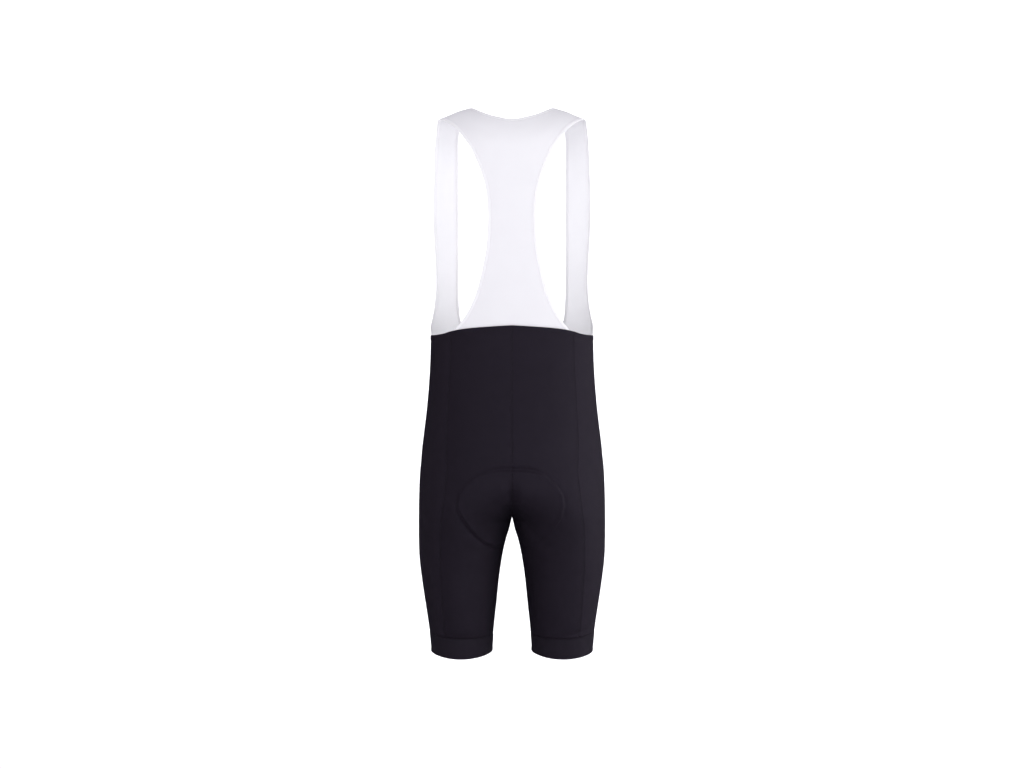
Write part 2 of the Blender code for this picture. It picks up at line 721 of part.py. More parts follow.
def make_bib(cloth, elastic):
    trim = BINDING_WIDTH + SEAM_GAP
    strap = strap_grid()
    strap_out = grid_normals(strap[:, ::-1])[:, ::-1]
    neck, neck_inward, neck_out = neck_half()
    corner = len(neck) - 1
    neck_line = [
        np.concatenate([neck, strap[1:, 0]]),
        np.concatenate([neck + neck_inward * trim, strap[1:, 1]]),
        np.concatenate([neck_out, strap_out[1:, 0]]),
    ]
    neck_line = [np.concatenate([mirrored(points)[:0:-1], points]) for points in neck_line]
    neck_cut = trimmed(neck_line[0], neck_line[1], trim)[corner + len(strap) - 1 :]

    tops = list(neck_cut[: corner + 1])
    shares = [float(top[0]) / SHOULDER_ACROSS for top in tops]
    for k in range(1, SHOULDER_COLUMNS + 1):
        shares.append(mix(shares[corner], 1.0, k / SHOULDER_COLUMNS))
        across = shares[-1] * SHOULDER_ACROSS
        tops.append(shoulder_point(across, SHOULDER_SEAM_DEG, before=True))
    right = np.array([bib_column(top, share) for top, share in zip(tops, shares)])
    right = right.swapaxes(0, 1)
    back = np.concatenate([mirrored(right[:, :0:-1]), right], axis=1)
    back_out = grid_normals(back)

    hole_edge = np.concatenate([back[::-1, -1], strap[:, -1]])
    hole_inside = np.concatenate([back[::-1, -2], strap[:, -2]])
    hole_out = np.concatenate([back_out[::-1, -1], strap_out[:, -1]])
    hole_cut = trimmed(hole_edge, hole_inside, trim)
    rows = len(back)
    cut_back = back.copy()
    cut_back[:, -1] = hole_cut[:rows][::-1]
    cut_back[:, 0] = mirrored(cut_back[:, -1])
    cut_strap = strap.copy()
    cut_strap[:, -1] = hole_cut[rows:]
    cut_strap[:, 0] = neck_cut[corner:]
    cut_strap[0] += unit(strap[1] - strap[0]) * SEAM_GAP

    wall("bib_back", cut_back, cut_back - back_out * BIB_WALL, cloth)
    for name, turned in (("right", lambda g: g), ("left", mirrored)):
        inner = cut_strap - strap_out * BIB_WALL
        wall(f"strap_{name}", turned(cut_strap), turned(inner), cloth)
        points = [turned(g) for g in (hole_edge, hole_inside, hole_out)]
        binding(f"armhole_binding_{name}", *points, BIB_WALL, elastic)
    binding("neck_binding", *neck_line, BIB_WALL, elastic)


def clear_scene():
    for thing in list(bpy.data.objects):
        bpy.data.objects.remove(thing, do_unlink=True)


def main():
    clear_scene()
    lycra = material("black_warp_knit", (0.018, 0.016, 0.020), 0.62)
    band = material("black_band_elastic", (0.022, 0.019, 0.024), 0.55)
    foam = material("pad_foam_face", (0.020, 0.020, 0.024), 0.80)
    mesh_cloth = material("white_stretch_mesh", (0.86, 0.86, 0.90), 0.70)
    elastic = material("white_elastic", (0.88, 0.88, 0.92), 0.60)
    half = shorts_half()
    make_shorts(half, lycra)
    make_bands(band)
    make_pad(half, foam)
    make_bib(mesh_cloth, elastic)


main()
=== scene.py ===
import math

import bpy
import numpy as np
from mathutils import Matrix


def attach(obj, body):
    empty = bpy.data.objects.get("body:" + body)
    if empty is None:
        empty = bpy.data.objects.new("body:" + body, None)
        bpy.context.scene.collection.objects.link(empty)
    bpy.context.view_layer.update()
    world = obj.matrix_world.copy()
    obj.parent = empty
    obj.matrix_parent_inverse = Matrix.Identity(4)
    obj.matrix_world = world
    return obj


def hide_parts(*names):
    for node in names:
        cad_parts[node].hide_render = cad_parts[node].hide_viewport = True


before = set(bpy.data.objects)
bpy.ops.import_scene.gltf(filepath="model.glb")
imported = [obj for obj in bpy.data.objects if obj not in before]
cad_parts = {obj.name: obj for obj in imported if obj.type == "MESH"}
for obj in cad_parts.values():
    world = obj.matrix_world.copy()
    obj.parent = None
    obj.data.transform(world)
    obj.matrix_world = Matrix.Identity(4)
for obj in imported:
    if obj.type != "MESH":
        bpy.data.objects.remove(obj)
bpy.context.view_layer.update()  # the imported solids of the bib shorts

# Bib shorts, filled out as if worn. The back faces -Y, the wearer's right is +X, metres throughout.

studio = {
    "cameraAway": 2.5,
    "cameraHeight": -0.4556,  # level with the top of the seat
    "lens": 51.7,
    "sensor": 36.0,
    "floorHeight": -1.45,  # the ground under a standing rider
    "floorHalfWidth": 5.0,
    "floorFront": -3.4,
    "wallBehind": 4.4,
    "wallTop": 2.6,
    "coveRadius": 1.0,
    "coveSteps": 24,
    "worldAround": "#F6F5F9",
    "worldAbove": "#8F8E97",  # the ceiling is darker than the walls
    "worldRamp": (0.15, 0.95),  # how far up it starts to darken and stops
    "worldStrength": 1.18,
}
# Each light: place, the point that it faces, width and height, watts
lights = {
    "key_light": ((2.5, 0.65, -0.40), (0, 0, -0.45), (1.4, 2.2), 9.0),
    "side_light": ((2.5, -0.95, -0.35), (0, 0, -0.50), (1.2, 1.6), 7.5),
    "front_light": ((1.5, -2.9, 0.00), (0, 0, -0.45), (1.5, 1.5), 5.0),
    "fill_light": ((-0.4, -3.3, 0.10), (0, 0, -0.45), (1.8, 1.8), 13.0),
    "wall_light": ((0.0, 2.75, 1.20), (0, 4.0, -1.0), (8.0, 1.0), 165.0),
}

seams = {
    "gap": 0.0002,
    "dip": 0.00040,
    "dipWidth": 0.0012,
    "faint": 0.2,  # share of the dip at the top of the centre back
    "deepens": (0.52, 0.56),  # drop from the shoulder over which that seam reaches the whole dip
    "stitchAside": 0.0017,
}
cloth = {"shorts": 0.0010, "bib": 0.0009, "band": 0.0019}  # thicknesses
# How far the top, bottom, first and last edge of each wall round outwards
rolls = {
    "shorts": (0.0003, 0.00012, 0.0001, 0.0001),
    "band": (0.0001, 0.0006, 0, 0),
    "bib": (0.0001, 0.0002, 0.0002, 0.0002),
}
sides = ((1, "right"), (-1, "left"))  # the wearer's


def table(columns, *rows):  # short table with named columns, the first of which is its key
    return dict(zip(columns.split(), np.array(sorted(rows), float).T))


def curve(rows, column, at):  # smooth line through a column of a table, which never overshoots
    x, y = next(iter(rows.values())), rows[column]
    at = np.clip(at, x[0], x[-1])
    step = np.diff(x)
    slope = np.diff(y) / step
    before, after = slope[:-1], slope[1:]
    bends = before * after > 0
    turn = np.where(bends, 2 * before * after / np.where(bends, before + after, 1), 0)
    tangent = np.concatenate([slope[:1], turn, slope[-1:]])
    i = np.clip(np.searchsorted(x, at, "right") - 1, 0, len(step) - 1)
    t = (at - x[i]) / step[i]
    start = (1 + 2 * t) * (1 - t) ** 2 * y[i] + t * (1 - t) ** 2 * step[i] * tangent[i]
    end = t * t * (3 - 2 * t) * y[i + 1] + t * t * (t - 1) * step[i] * tangent[i + 1]
    return start + end


def mix(start, end, share):
    return start + (end - start) * share


def ease(value, low, high):  # 0 below low, 1 above high, soft between
    t = np.clip((value - low) / (high - low), 0, 1)
    return t * t * (3 - 2 * t)


def bell(distance, width):  # 1 at no distance, fading to 0 on both sides
    return np.exp(-((distance / width) ** 2))


def unit(vectors):
    return vectors / np.maximum(np.linalg.norm(vectors, axis=-1, keepdims=True), 1e-12)


# The figure inside the garment: half sections that part into two legs below the seat

splitStart = -0.596
crotch = -0.6815
bandSeam = -0.8790
hem = -0.9075
hemDipBehind = 0.0058
figure = {
    "seamArc": 2.1,  # roundness of the line between the legs, from back to front
    "split": 1.35,
    "bridgeReach": 0.030,
    "bridgeLift": 0.014,
    "besideSeam": 0.985,  # share of the way round at which the slope beside the seam is read
}
body = table(
    "height outer inner behind before squareness",
    (0.030, 0.1500, 0.0, 0.0960, 0.0940, 2.20),
    (-0.060, 0.1550, 0.0, 0.1070, 0.1050, 2.20),
    (-0.120, 0.1570, 0.0, 0.1110, 0.1110, 2.20),
    (-0.180, 0.1550, 0.0, 0.1090, 0.1130, 2.20),
    (-0.240, 0.1490, 0.0, 0.1030, 0.1110, 2.20),
    (-0.300, 0.1420, 0.0, 0.0965, 0.1080, 2.20),
    (-0.340, 0.1393, 0.0, 0.0932, 0.1060, 2.20),
    (-0.374, 0.1380, 0.0, 0.0930, 0.1045, 2.20),
    (-0.415, 0.1386, 0.0, 0.0965, 0.1035, 2.20),
    (-0.457, 0.1410, 0.0, 0.1050, 0.1025, 2.20),
    (-0.499, 0.1446, 0.0, 0.1160, 0.1010, 2.20),
    (-0.539, 0.1496, 0.0, 0.1260, 0.0990, 2.18),
    (-0.580, 0.1545, 0.0, 0.1330, 0.0970, 2.15),
    (-0.620, 0.1570, 0.0, 0.1330, 0.0950, 2.12),
    (-0.660, 0.1580, 0.0, 0.1220, 0.0930, 2.06),
    (crotch, 0.1582, 0.0004, 0.1125, 0.0920, 2.02),
    (-0.690, 0.1582, 0.0021, 0.1085, 0.0912, 2.00),
    (-0.702, 0.1582, 0.0050, 0.1030, 0.0900, 2.00),
    (-0.716, 0.1582, 0.0095, 0.0980, 0.0890, 2.00),
    (-0.743, 0.1578, 0.0158, 0.0900, 0.0870, 2.00),
    (-0.784, 0.1532, 0.0220, 0.0810, 0.0830, 2.00),
    (-0.825, 0.1472, 0.0262, 0.0730, 0.0780, 2.00),
    (-0.865, 0.1408, 0.0306, 0.0640, 0.0710, 2.00),
    (bandSeam, 0.1393, 0.0318, 0.0610, 0.0680, 2.00),
    (-0.920, 0.1355, 0.0345, 0.0550, 0.0620, 2.00),
)
# Angles round the garment are -90 at the centre back, 0 at the side and 90 at the front.
waistEdge = table(
    "around height",
    (-90, -0.3597), (-57, -0.3650), (-44, -0.3688), (-35, -0.3724), (-22, -0.3738),
    (0, -0.3735), (30, -0.3790), (60, -0.3930), (90, -0.4020),
)
waistSide = float(curve(waistEdge, "height", 0.0))
sideSeams = table(
    "height rear fore",
    (-0.360, -44.5, 34), (-0.460, -44.5, 36), (-0.550, -46, 40), (-0.610, -50, 45),
    (crotch, -61, 52), (-0.760, -63, 56), (-0.900, -60, 58),
)


def signedPower(value, exponent):
    return np.sign(value) * np.abs(value) ** exponent


def bodySection(height):  # sizes of the right half section at each height
    down = (np.clip((splitStart - height) / (splitStart - crotch), 0, 1)) ** figure["split"]
    arc = figure["seamArc"]
    seamDepth = (1 - down**arc) ** (1 / arc)
    parted = np.sqrt(np.clip(1 - seamDepth**2, 0, 1))
    outer, square = curve(body, "outer", height), curve(body, "squareness", height)
    inner = np.where(parted < 1, 0, curve(body, "inner", height))
    radius = np.where(parted < 1, outer / (1 + parted), (outer - inner) / 2)
    return {
        "parted": parted,
        "radius": radius,
        "centre": np.where(parted < 1, radius * parted, (outer + inner) / 2),
        "behind": curve(body, "behind", height),
        "before": curve(body, "before", height),
        "power": 2 / square,
        "end": np.where(parted < 1, np.arccos(-(parted ** (square / 2))), np.pi),
    }


def barePoint(section, angle):
    depth = np.where(np.sin(angle) > 0, section["before"], section["behind"])
    across = section["centre"] + section["radius"] * signedPower(np.cos(angle), section["power"])
    return across, depth * signedPower(np.sin(angle), section["power"])


def bodyPoint(height, angle):  # point on the figure, the cleft bridged as stretched cloth bridges it
    height, angle = np.broadcast_arrays(np.asarray(height, float), np.asarray(angle, float))
    section = bodySection(height)
    across, depth = barePoint(section, angle)
    end = np.copysign(section["end"], angle)
    seam = np.abs(barePoint(section, end)[1])
    nearAcross, near = barePoint(section, end * figure["besideSeam"])
    slope = np.maximum(np.abs(np.abs(near) - seam) / np.maximum(nearAcross, 1e-6), 1e-6)
    lift = figure["bridgeLift"] * (1 - section["parted"] ** 2)
    reach = np.maximum(np.minimum(figure["bridgeReach"], 2 * lift / slope), 1e-9)
    bridged = (section["parted"] > 0) & (section["parted"] < 1) & (np.cos(angle) < 0)
    raised = slope / (2 * reach) * (reach - across) ** 2
    raised = np.where(bridged & (across < reach), raised, 0)
    return np.stack([across, np.copysign(np.abs(depth) + raised, depth), height], -1)


def angleAt(height, across):  # where the section above the crotch is this wide
    section = bodySection(height)
    return np.arccos(np.minimum(across / section["radius"], 1) ** (1 / section["power"]))


# Grids: rows run down the garment and columns run round it, so that down x along points outwards


def differences(points):
    steps = np.empty_like(points)
    steps[1:-1] = points[2:] - points[:-2]
    steps[0] = 4 * points[1] - 3 * points[0] - points[2]
    steps[-1] = 3 * points[-1] - 4 * points[-2] + points[-3]
    return steps


def sideways(work, grid, *sizes):  # does along the rows what the function does down the columns
    return work(grid.swapaxes(0, 1), *sizes).swapaxes(0, 1)


def gridNormals(grid, closed=False):
    along = np.roll(grid, -1, 1) - np.roll(grid, 1, 1) if closed else sideways(differences, grid)
    return unit(np.cross(differences(grid), along))


def mirrored(grid):  # the wearer's left, with its faces still pointing outwards
    return grid[:, ::-1] * np.array([-1.0, 1.0, 1.0])


def finer(points, count):  # cubic spline through the points along the first axis
    size = len(points)
    lines = np.eye(size) * 4 + np.eye(size, k=1) + np.eye(size, k=-1)
    lines[0, :2] = (6, 0)
    lines[-1, -2:] = (0, 6)
    held = np.linalg.solve(lines / 6, points.reshape(size, -1)).reshape(points.shape)
    held = np.concatenate([[2 * held[0] - held[1]], held, [2 * held[-1] - held[-2]]])
    place = np.linspace(0, size - 1, count)
    i = np.minimum(place.astype(int), size - 2)
    t = (place - i).reshape(-1, *[1] * (points.ndim - 1))
    weights = ((1 - t) ** 3, 3 * t**3 - 6 * t**2 + 4, -3 * t**3 + 3 * t**2 + 3 * t + 1, t**3)
    return sum(w * held[i + k] for k, w in enumerate(weights)) / 6


def finerGrid(grid, rows, columns):
    return sideways(finer, finer(grid, rows), columns)


def lengthsAlong(points):  # distance run along the first axis
    steps = np.linalg.norm(np.diff(points, axis=0), axis=-1)
    return np.concatenate([np.zeros_like(steps[:1]), np.cumsum(steps, axis=0)])


def flatMap(grid, closed=False, level=0):  # place on the flat cloth in metres, level is a straight row
    row = np.concatenate([grid, grid[:, :1]], 1) if closed else grid
    along = sideways(lengthsAlong, row)
    along = along - along[:, along.shape[1] // 2][:, None]
    down = lengthsAlong(row)
    return np.stack([along, down[level] - down], -1)


def gridFaces(rows, columns, closed):  # faces between grid points, and their corners' rows and columns
    r, c = np.meshgrid(np.arange(rows - 1), np.arange(columns - (not closed)), indexing="ij")
    corners = [(r, c), (r + 1, c), (r + 1, c + 1), (r, c + 1)]
    quads = np.stack([a * columns + b % columns for a, b in corners], -1).reshape(-1, 4)
    return quads, corners


# Points round a wall's edges: row and column, those of the point next to it within, and its roll
def rimLoops(rows, columns, closed, rolls):
    top, bottom, first, last = rolls
    if closed:
        above = [(0, k, 1, k, top) for k in range(columns)]
        below = [(rows - 1, k, rows - 2, k, bottom) for k in range(columns)]
        return [above, below[::-1]]
    around = [(0, k, 1, k, top) for k in range(columns - 1)]
    around += [(k, columns - 1, k, columns - 2, last) for k in range(rows - 1)]
    around += [(rows - 1, k, rows - 2, k, bottom) for k in range(columns - 1, 0, -1)]
    around += [(k, 0, k, 1, first) for k in range(rows - 1, 0, -1)]
    return [around]


# A closed wall between two grids, its edges rounded
def makeWall(name, outer, inner, flat, material, rolls=(0, 0, 0, 0), closed=False):
    rows, columns = outer.shape[:2]
    size = rows * columns
    quads, corners = gridFaces(rows, columns, closed)
    maps = np.stack([flat[a, b] for a, b in corners], -2).reshape(-1, 4, 2)
    points = [outer.reshape(-1, 3), inner.reshape(-1, 3)]
    faces = [quads, quads[:, ::-1] + size]
    mapped = [maps, maps[:, ::-1]]
    for loop in rimLoops(rows, columns, closed, rolls):
        loop = np.array(loop)
        row, column, nextRow, nextColumn = loop[:, :4].astype(int).T
        upper, lower = outer[row, column], inner[row, column]
        outwards = unit(upper - outer[nextRow, nextColumn]) * loop[:, 4:]
        rings = [row * columns + column]
        for turn in np.radians((45, 90, 135)):
            rings.append(sum(map(len, points)) + np.arange(len(loop)))
            across = (upper - lower) / 2 * math.cos(turn)
            points.append((upper + lower) / 2 + across + outwards * math.sin(turn))
        rings.append(rings[0] + size)
        rim = np.repeat(flat[row, column][:, None], 4, 1)
        for high, low in zip(rings, rings[1:]):
            faces.append(np.stack([high, np.roll(high, -1), np.roll(low, -1), low], -1))
            mapped.append(rim)
    points, faces, mapped = (np.concatenate(parts) for parts in (points, faces, mapped))
    return meshFrom(name, points, faces.tolist(), material, mapped)


def meshFrom(name, points, faces, material, maps=None):
    mesh = bpy.data.meshes.new(name)
    mesh.from_pydata(points.reshape(-1, 3).tolist(), [], faces)
    if maps is not None:
        layer = mesh.uv_layers.new(name="cloth")
        layer.data.foreach_set("uv", maps.astype(np.float32).ravel())
    mesh.shade_smooth()
    mesh.materials.append(material)
    piece = bpy.data.objects.new(name, mesh)
    bpy.context.collection.objects.link(piece)
    return piece


def dress(piece, slot, *nodes):  # every piece rides on the one body of the row
    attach(piece, "root")
    if nodes:
        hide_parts(*nodes)
    return piece


# A wall for a node of the frame, kept with its grids for the sewing
def makePanel(node, kind, slot, outer, inner, out, flat, material, rolls, closed=False):
    piece = makeWall(f"{node}_{kind}", outer, inner, flat, material, rolls, closed)
    dress(piece, slot, node)
    return {"piece": piece, "outer": outer, "inner": inner, "out": out}


# Materials


def linear(hexColour):  # sRGB hex to the linear values that the shaders use
    values = [int(hexColour[k : k + 2], 16) / 255 for k in (1, 3, 5)]
    return [v / 12.92 if v <= 0.04045 else ((v + 0.055) / 1.055) ** 2.4 for v in values] + [1.0]


def add(material, kind, links=None, output=0, **settings):  # adds a node with its settings and links
    tree = material.node_tree
    node = tree.nodes.new("ShaderNode" + kind)
    for name, value in settings.items():
        setattr(node, name, value)
    for socket, value in (links or {}).items():
        if isinstance(value, bpy.types.NodeSocket):
            tree.links.new(value, node.inputs[socket])
        else:
            node.inputs[socket].default_value = value
    return node.outputs[output]


def newMaterial(name, look):
    material = bpy.data.materials.new(name)
    material.use_nodes = True
    shader = material.node_tree.nodes["Principled BSDF"]
    shader.inputs["Base Color"].default_value = linear(look["light"])
    shader.inputs["Roughness"].default_value = look["roughness"]
    shader.inputs["Specular IOR Level"].default_value = look["specular"]
    shader.inputs["Specular Tint"].default_value = linear(look.get("gleam", "#FFFFFF"))
    shader.inputs["Subsurface Weight"].default_value = look.get("throughLight", 0.0)
    shader.inputs["Subsurface Radius"].default_value = (1.0, 1.0, 1.0)
    shader.inputs["Subsurface Scale"].default_value = look.get("throughDepth", 0.001)
    return material


def finish(material, height, bumpDepth, colour):  # relief and colour go to the shader
    shader = material.node_tree.nodes["Principled BSDF"]
    bump = add(material, "Bump", {"Height": height, "Distance": bumpDepth, "Strength": 1.0})
    material.node_tree.links.new(bump, shader.inputs["Normal"])
    material.node_tree.links.new(colour, shader.inputs["Base Color"])
    return material


# Shapes that the knitted and grained materials share
pattern = {
    "stitchLean": 0.9,  # rise of one leg of a V stitch, in courses
    "stitchRelief": 0.25,
    "yarnRate": 1.3,  # yarns across for each rib
    "yarnRelief": 0.35,
    "holeRim": (0.6, 1.5),  # where a hole's soft rim starts and ends, in hole sizes
    "grainDetail": 2.0,
    "mottleDetail": 3.0,
    "mottleSpan": (0.3, 0.7),
}


def wave(material, value, length):
    value = add(material, "Math", {0: value, 1: math.tau / length}, operation="MULTIPLY")
    return add(material, "Math", {0: value}, operation="SINE")


def knitHeight(material, wale, course):  # columns of V stitches: wale wide, course tall
    uv = add(material, "UVMap", uv_map="cloth")
    across = add(material, "SeparateXYZ", {0: uv}, output="X")
    down = across.node.outputs["Y"]
    column = add(material, "Math", {0: across, 1: wale / 2}, operation="PINGPONG")
    column = add(material, "Math", {0: column, 1: wale / 2}, operation="DIVIDE")
    lean = {0: column, 1: course * pattern["stitchLean"]}
    lean = add(material, "Math", lean, operation="MULTIPLY")
    row = wave(material, add(material, "Math", {0: down, 1: lean}, operation="SUBTRACT"), course)
    bulge = wave(material, column, 2)
    parts = {0: row, 1: pattern["stitchRelief"], 2: bulge}
    return add(material, "Math", parts, operation="MULTIPLY_ADD")


def mottled(material, look):  # slight unevenness of dyed yarn, between the look's two colours
    place = add(material, "TexCoord", output="Object")
    noise = {"Vector": place, "Scale": look["mottle"], "Detail": pattern["mottleDetail"]}
    low, high = pattern["mottleSpan"]
    share = add(material, "MapRange", {0: add(material, "TexNoise", noise), 1: low, 2: high})
    ends = {0: share, 6: linear(look["dark"]), 7: linear(look["light"])}
    return add(material, "Mix", ends, output=2, data_type="RGBA")


blackKnitLook = {
    "dark": "#161018",
    "light": "#18121A",
    "roughness": 0.74,
    "specular": 1.0,
    "gleam": "#E9DDFF",
    "wale": 0.0011,  # real wales are 0.5 mm, drawn twice as wide to show
    "course": 0.0009,
    "bump": 0.00010,
    "mottle": 55.0,
}
bandLook = {
    "dark": "#1A151C",
    "light": "#1C171E",
    "roughness": 0.72,
    "specular": 1.0,
    "gleam": "#E9DDFF",
    "rib": 0.0014,
    "bump": 0.00020,
    "mottle": 60.0,
}
padLook = {
    "dark": "#26262B",
    "light": "#2F2F36",
    "roughness": 0.85,
    "specular": 0.15,
    "wale": 0.0016,
    "course": 0.0014,
    "bump": 0.0002,
    "mottle": 90.0,
}
meshLook = {
    "dark": "#F4F3F5",
    "light": "#F6F5F7",
    # the holes' colour is painted shade, darker for the inside of the garment seen through them
    "hole": "#EAE9EC",
    "roughness": 0.75,
    "specular": 0.10,
    "throughLight": 0.25,
    "throughDepth": 0.002,
    "pitch": 0.0026,  # real holes stand 1.3 mm apart, drawn twice as far to show
    "holeSize": 0.20,
    "bump": 0.00007,
    "mottle": 40.0,
}
whiteElasticLook = {
    "dark": "#FDFCFE",
    "light": "#FFFEFF",
    "roughness": 0.6,
    "specular": 0.15,
    "rib": 0.0012,
    "bump": 0.00005,
    "mottle": 60.0,
}
strapMeshLook = meshLook | {"throughLight": 0.75, "throughDepth": 0.004}  # drawn thinner, passes more light
sheenSideKnitLook = blackKnitLook | {"dark": "#19131B", "light": "#1B151D"}  # coloured a touch lighter: painted sheen for the gleam that the side panels catch
blackThreadLook = {
    "dark": "#19131C",
    "light": "#1E1821",
    "roughness": 0.5,
    "specular": 0.4,
    "mottle": 900.0,
    "grain": 2500.0,
    "bump": 0.00006,
}
whiteThreadLook = blackThreadLook | {"dark": "#EDECF2", "light": "#F6F5FA", "specular": 0.3}
paintLook = {
    "dark": "#EFEFF2",
    "light": "#F3F3F5",
    "roughness": 0.9,
    "specular": 0.2,
    "mottle": 300.0,
    "grain": 300.0,
    "bump": 0.0003,
}


# Knitted polyamide and elastane, or the brushed knit of the pad: dull, its wales just catch the light.
def knitCloth(name, look):
    material = newMaterial(name, look)
    height = knitHeight(material, look["wale"], look["course"])
    return finish(material, height, look["bump"], mottled(material, look))


# Warp-knitted power elastic: close ribs run round the edge that it holds.
def ribbedElastic(name, look):
    material = newMaterial(name, look)
    across = add(material, "SeparateXYZ", {0: add(material, "UVMap", uv_map="cloth")}, output="X")
    rib = wave(material, across.node.outputs["Y"], look["rib"])
    yarn = wave(material, across, look["rib"] / pattern["yarnRate"])
    parts = {0: yarn, 1: pattern["yarnRelief"], 2: rib}
    height = add(material, "Math", parts, operation="MULTIPLY_ADD")
    return finish(material, height, look["bump"], mottled(material, look))


# Knitted polyester stretch mesh: small staggered holes in a dull white ground that lets light through. The
# holes are not cut; their darker colour is painted shade for the inside of the garment seen through them.
def stretchMesh(name, look):
    material = newMaterial(name, look)
    uv = add(material, "UVMap", uv_map="cloth")
    near = []
    for shift in (0.0, 0.5):  # two square lattices make the staggered one
        scale = (1 / look["pitch"], 1 / look["pitch"], 1)
        place = {0: uv, 1: scale, 2: (shift, shift, 0)}
        place = add(material, "VectorMath", place, operation="MULTIPLY_ADD")
        cell = add(material, "VectorMath", {0: place}, operation="FRACTION")
        middle = {0: cell, 1: (0.5, 0.5, 0)}
        near.append(add(material, "VectorMath", middle, output="Value", operation="DISTANCE"))
    nearest = add(material, "Math", {0: near[0], 1: near[1]}, operation="MINIMUM")
    start, end = pattern["holeRim"]
    rim = {0: nearest, 1: start * look["holeSize"], 2: end * look["holeSize"]}
    ground = add(material, "MapRange", rim, interpolation_type="SMOOTHSTEP")
    # the holes take the darker colour, painted shade for the inside seen through them
    ends = {0: ground, 6: linear(look["hole"]), 7: mottled(material, look)}
    return finish(material, ground, look["bump"], add(material, "Mix", ends, output=2, data_type="RGBA"))


# Spun polyester thread with a slight gloss, or matt paint: fine grain alone.
def grained(name, look):
    material = newMaterial(name, look)
    place = add(material, "TexCoord", output="Object")
    grain = {"Vector": place, "Scale": look["grain"], "Detail": pattern["grainDetail"]}
    return finish(material, add(material, "TexNoise", grain), look["bump"], mottled(material, look))


blackKnit = knitCloth("black_warp_knit", blackKnitLook)
# the side panels' knit is a lighter copy of the black knit, a painted sheen
sheenSideKnit = knitCloth("black_warp_knit_painted_sheen", sheenSideKnitLook)
padKnit = knitCloth("brushed_pad_knit", padLook)
bandElastic = ribbedElastic("black_band_elastic", bandLook)
whiteElastic = ribbedElastic("white_binding_elastic", whiteElasticLook)
bibMesh = stretchMesh("white_stretch_mesh", meshLook)
strapMesh = stretchMesh("white_stretch_mesh_drawn", strapMeshLook)
blackThread = grained("black_sewing_thread", blackThreadLook)
whiteThread = grained("white_sewing_thread", whiteThreadLook)
covePaint = grained("matt_studio_paint", paintLook)
print("materials ready")


# Studio


def placeCamera():
    place = (0, -studio["cameraAway"], studio["cameraHeight"])
    bpy.ops.object.camera_add(location=place, rotation=(math.pi / 2, 0, 0))
    camera = bpy.context.object
    camera.data.lens = studio["lens"]
    camera.data.sensor_width = studio["sensor"]
    bpy.context.scene.camera = camera


def makeCove():  # floor that curves up into the wall behind
    front, back, ground = (studio[key] for key in ("floorFront", "wallBehind", "floorHeight"))
    radius, wide = studio["coveRadius"], studio["floorHalfWidth"]
    turn = np.radians(np.linspace(0, 90, studio["coveSteps"] + 1))
    depth = [front, *(back - radius * (1 - np.sin(turn))), back]
    height = [ground, *(ground + radius * (1 - np.cos(turn))), studio["wallTop"]]
    points = np.array([[(-wide, y, z), (wide, y, z)] for y, z in zip(depth, height)])
    quads, _ = gridFaces(*points.shape[:2], closed=False)
    cove = meshFrom("studio_cove", points, quads[:, ::-1].tolist(), covePaint)
    cove.visible_glossy = False  # black flags keep its glare off the black cloth


def makeWorld():
    world = bpy.data.worlds.new("studio_world")
    world.use_nodes = True
    way = add(world, "SeparateXYZ", {0: add(world, "TexCoord", output="Generated")}, output="Z")
    start, end = studio["worldRamp"]
    rise = add(world, "MapRange", {0: way, 1: start, 2: end})
    ends = {0: rise, 6: linear(studio["worldAround"]), 7: linear(studio["worldAbove"])}
    background = world.node_tree.nodes["Background"]
    world.node_tree.links.new(add(world, "Mix", ends, output=2, data_type="RGBA"), background.inputs[0])
    background.inputs["Strength"].default_value = studio["worldStrength"]
    world.cycles_visibility.glossy = False
    bpy.context.scene.world = world
    bpy.context.scene.view_settings.view_transform = "Standard"


def placeLights():
    for name, (place, target, size, watts) in lights.items():
        bpy.ops.object.light_add(type="AREA", location=place)
        light = bpy.context.object
        light.name = name
        light.data.shape = "RECTANGLE"
        light.data.size, light.data.size_y = size
        light.data.energy = watts
        aim = [t - p for t, p in zip(target, place)]
        flat = math.hypot(aim[0], aim[1])
        light.rotation_euler = (math.atan2(flat, -aim[2]), 0, math.atan2(-aim[0], aim[1]))


placeCamera()
makeCove()
makeWorld()
placeLights()
print("studio ready")


# Soft troughs and ridges


def lineDistance(points, line):  # distance from a line in a plane, the place along it and the side
    best = np.full(points.shape[:-1], np.inf)
    along, side = np.zeros_like(best), np.zeros_like(best)
    for k, (a, b) in enumerate(zip(line, line[1:])):
        way = b - a
        apart = points - a
        t = np.clip((apart * way).sum(-1) / (way @ way), 0, 1)
        distance = np.linalg.norm(apart - t[..., None] * way, axis=-1)
        near = distance < best
        best = np.where(near, distance, best)
        along = np.where(near, k + t, along)
        side = np.where(near, np.sign(way[0] * apart[..., 1] - way[1] * apart[..., 0]), side)
    return best, along, side


facings = {  # plane that a crease is drawn in, and the way that its cloth faces
    "back": ((0, 2), (0, -1, 0)),
    "front": ((0, 2), (0, 1, 0)),
    "right": ((1, 2), (1, 0, 0)),
    "left": ((1, 2), (-1, 0, 0)),
}
creaseEnds = 0.7  # below 1 a crease stays deep nearer its ends
creaseFacing = (0.05, 0.45)  # cloth that turns away loses it over this range


def creases(grid, normals, lines):  # how far the creases near each point move it outwards
    move = np.zeros(grid.shape[:2])
    for facing, depth, width, line in lines:  # depth is negative for a trough
        axes, way = facings[facing]
        line = np.array(line, float)
        distance, along, _ = lineDistance(grid[..., axes], line)
        share = along / (len(line) - 1)
        taper = np.sin(np.pi * np.clip(share, 0, 1)) ** creaseEnds
        towards = ease(normals @ np.array(way, float), *creaseFacing)
        move += depth * bell(distance, width) * taper * towards
    return move


# Shorts

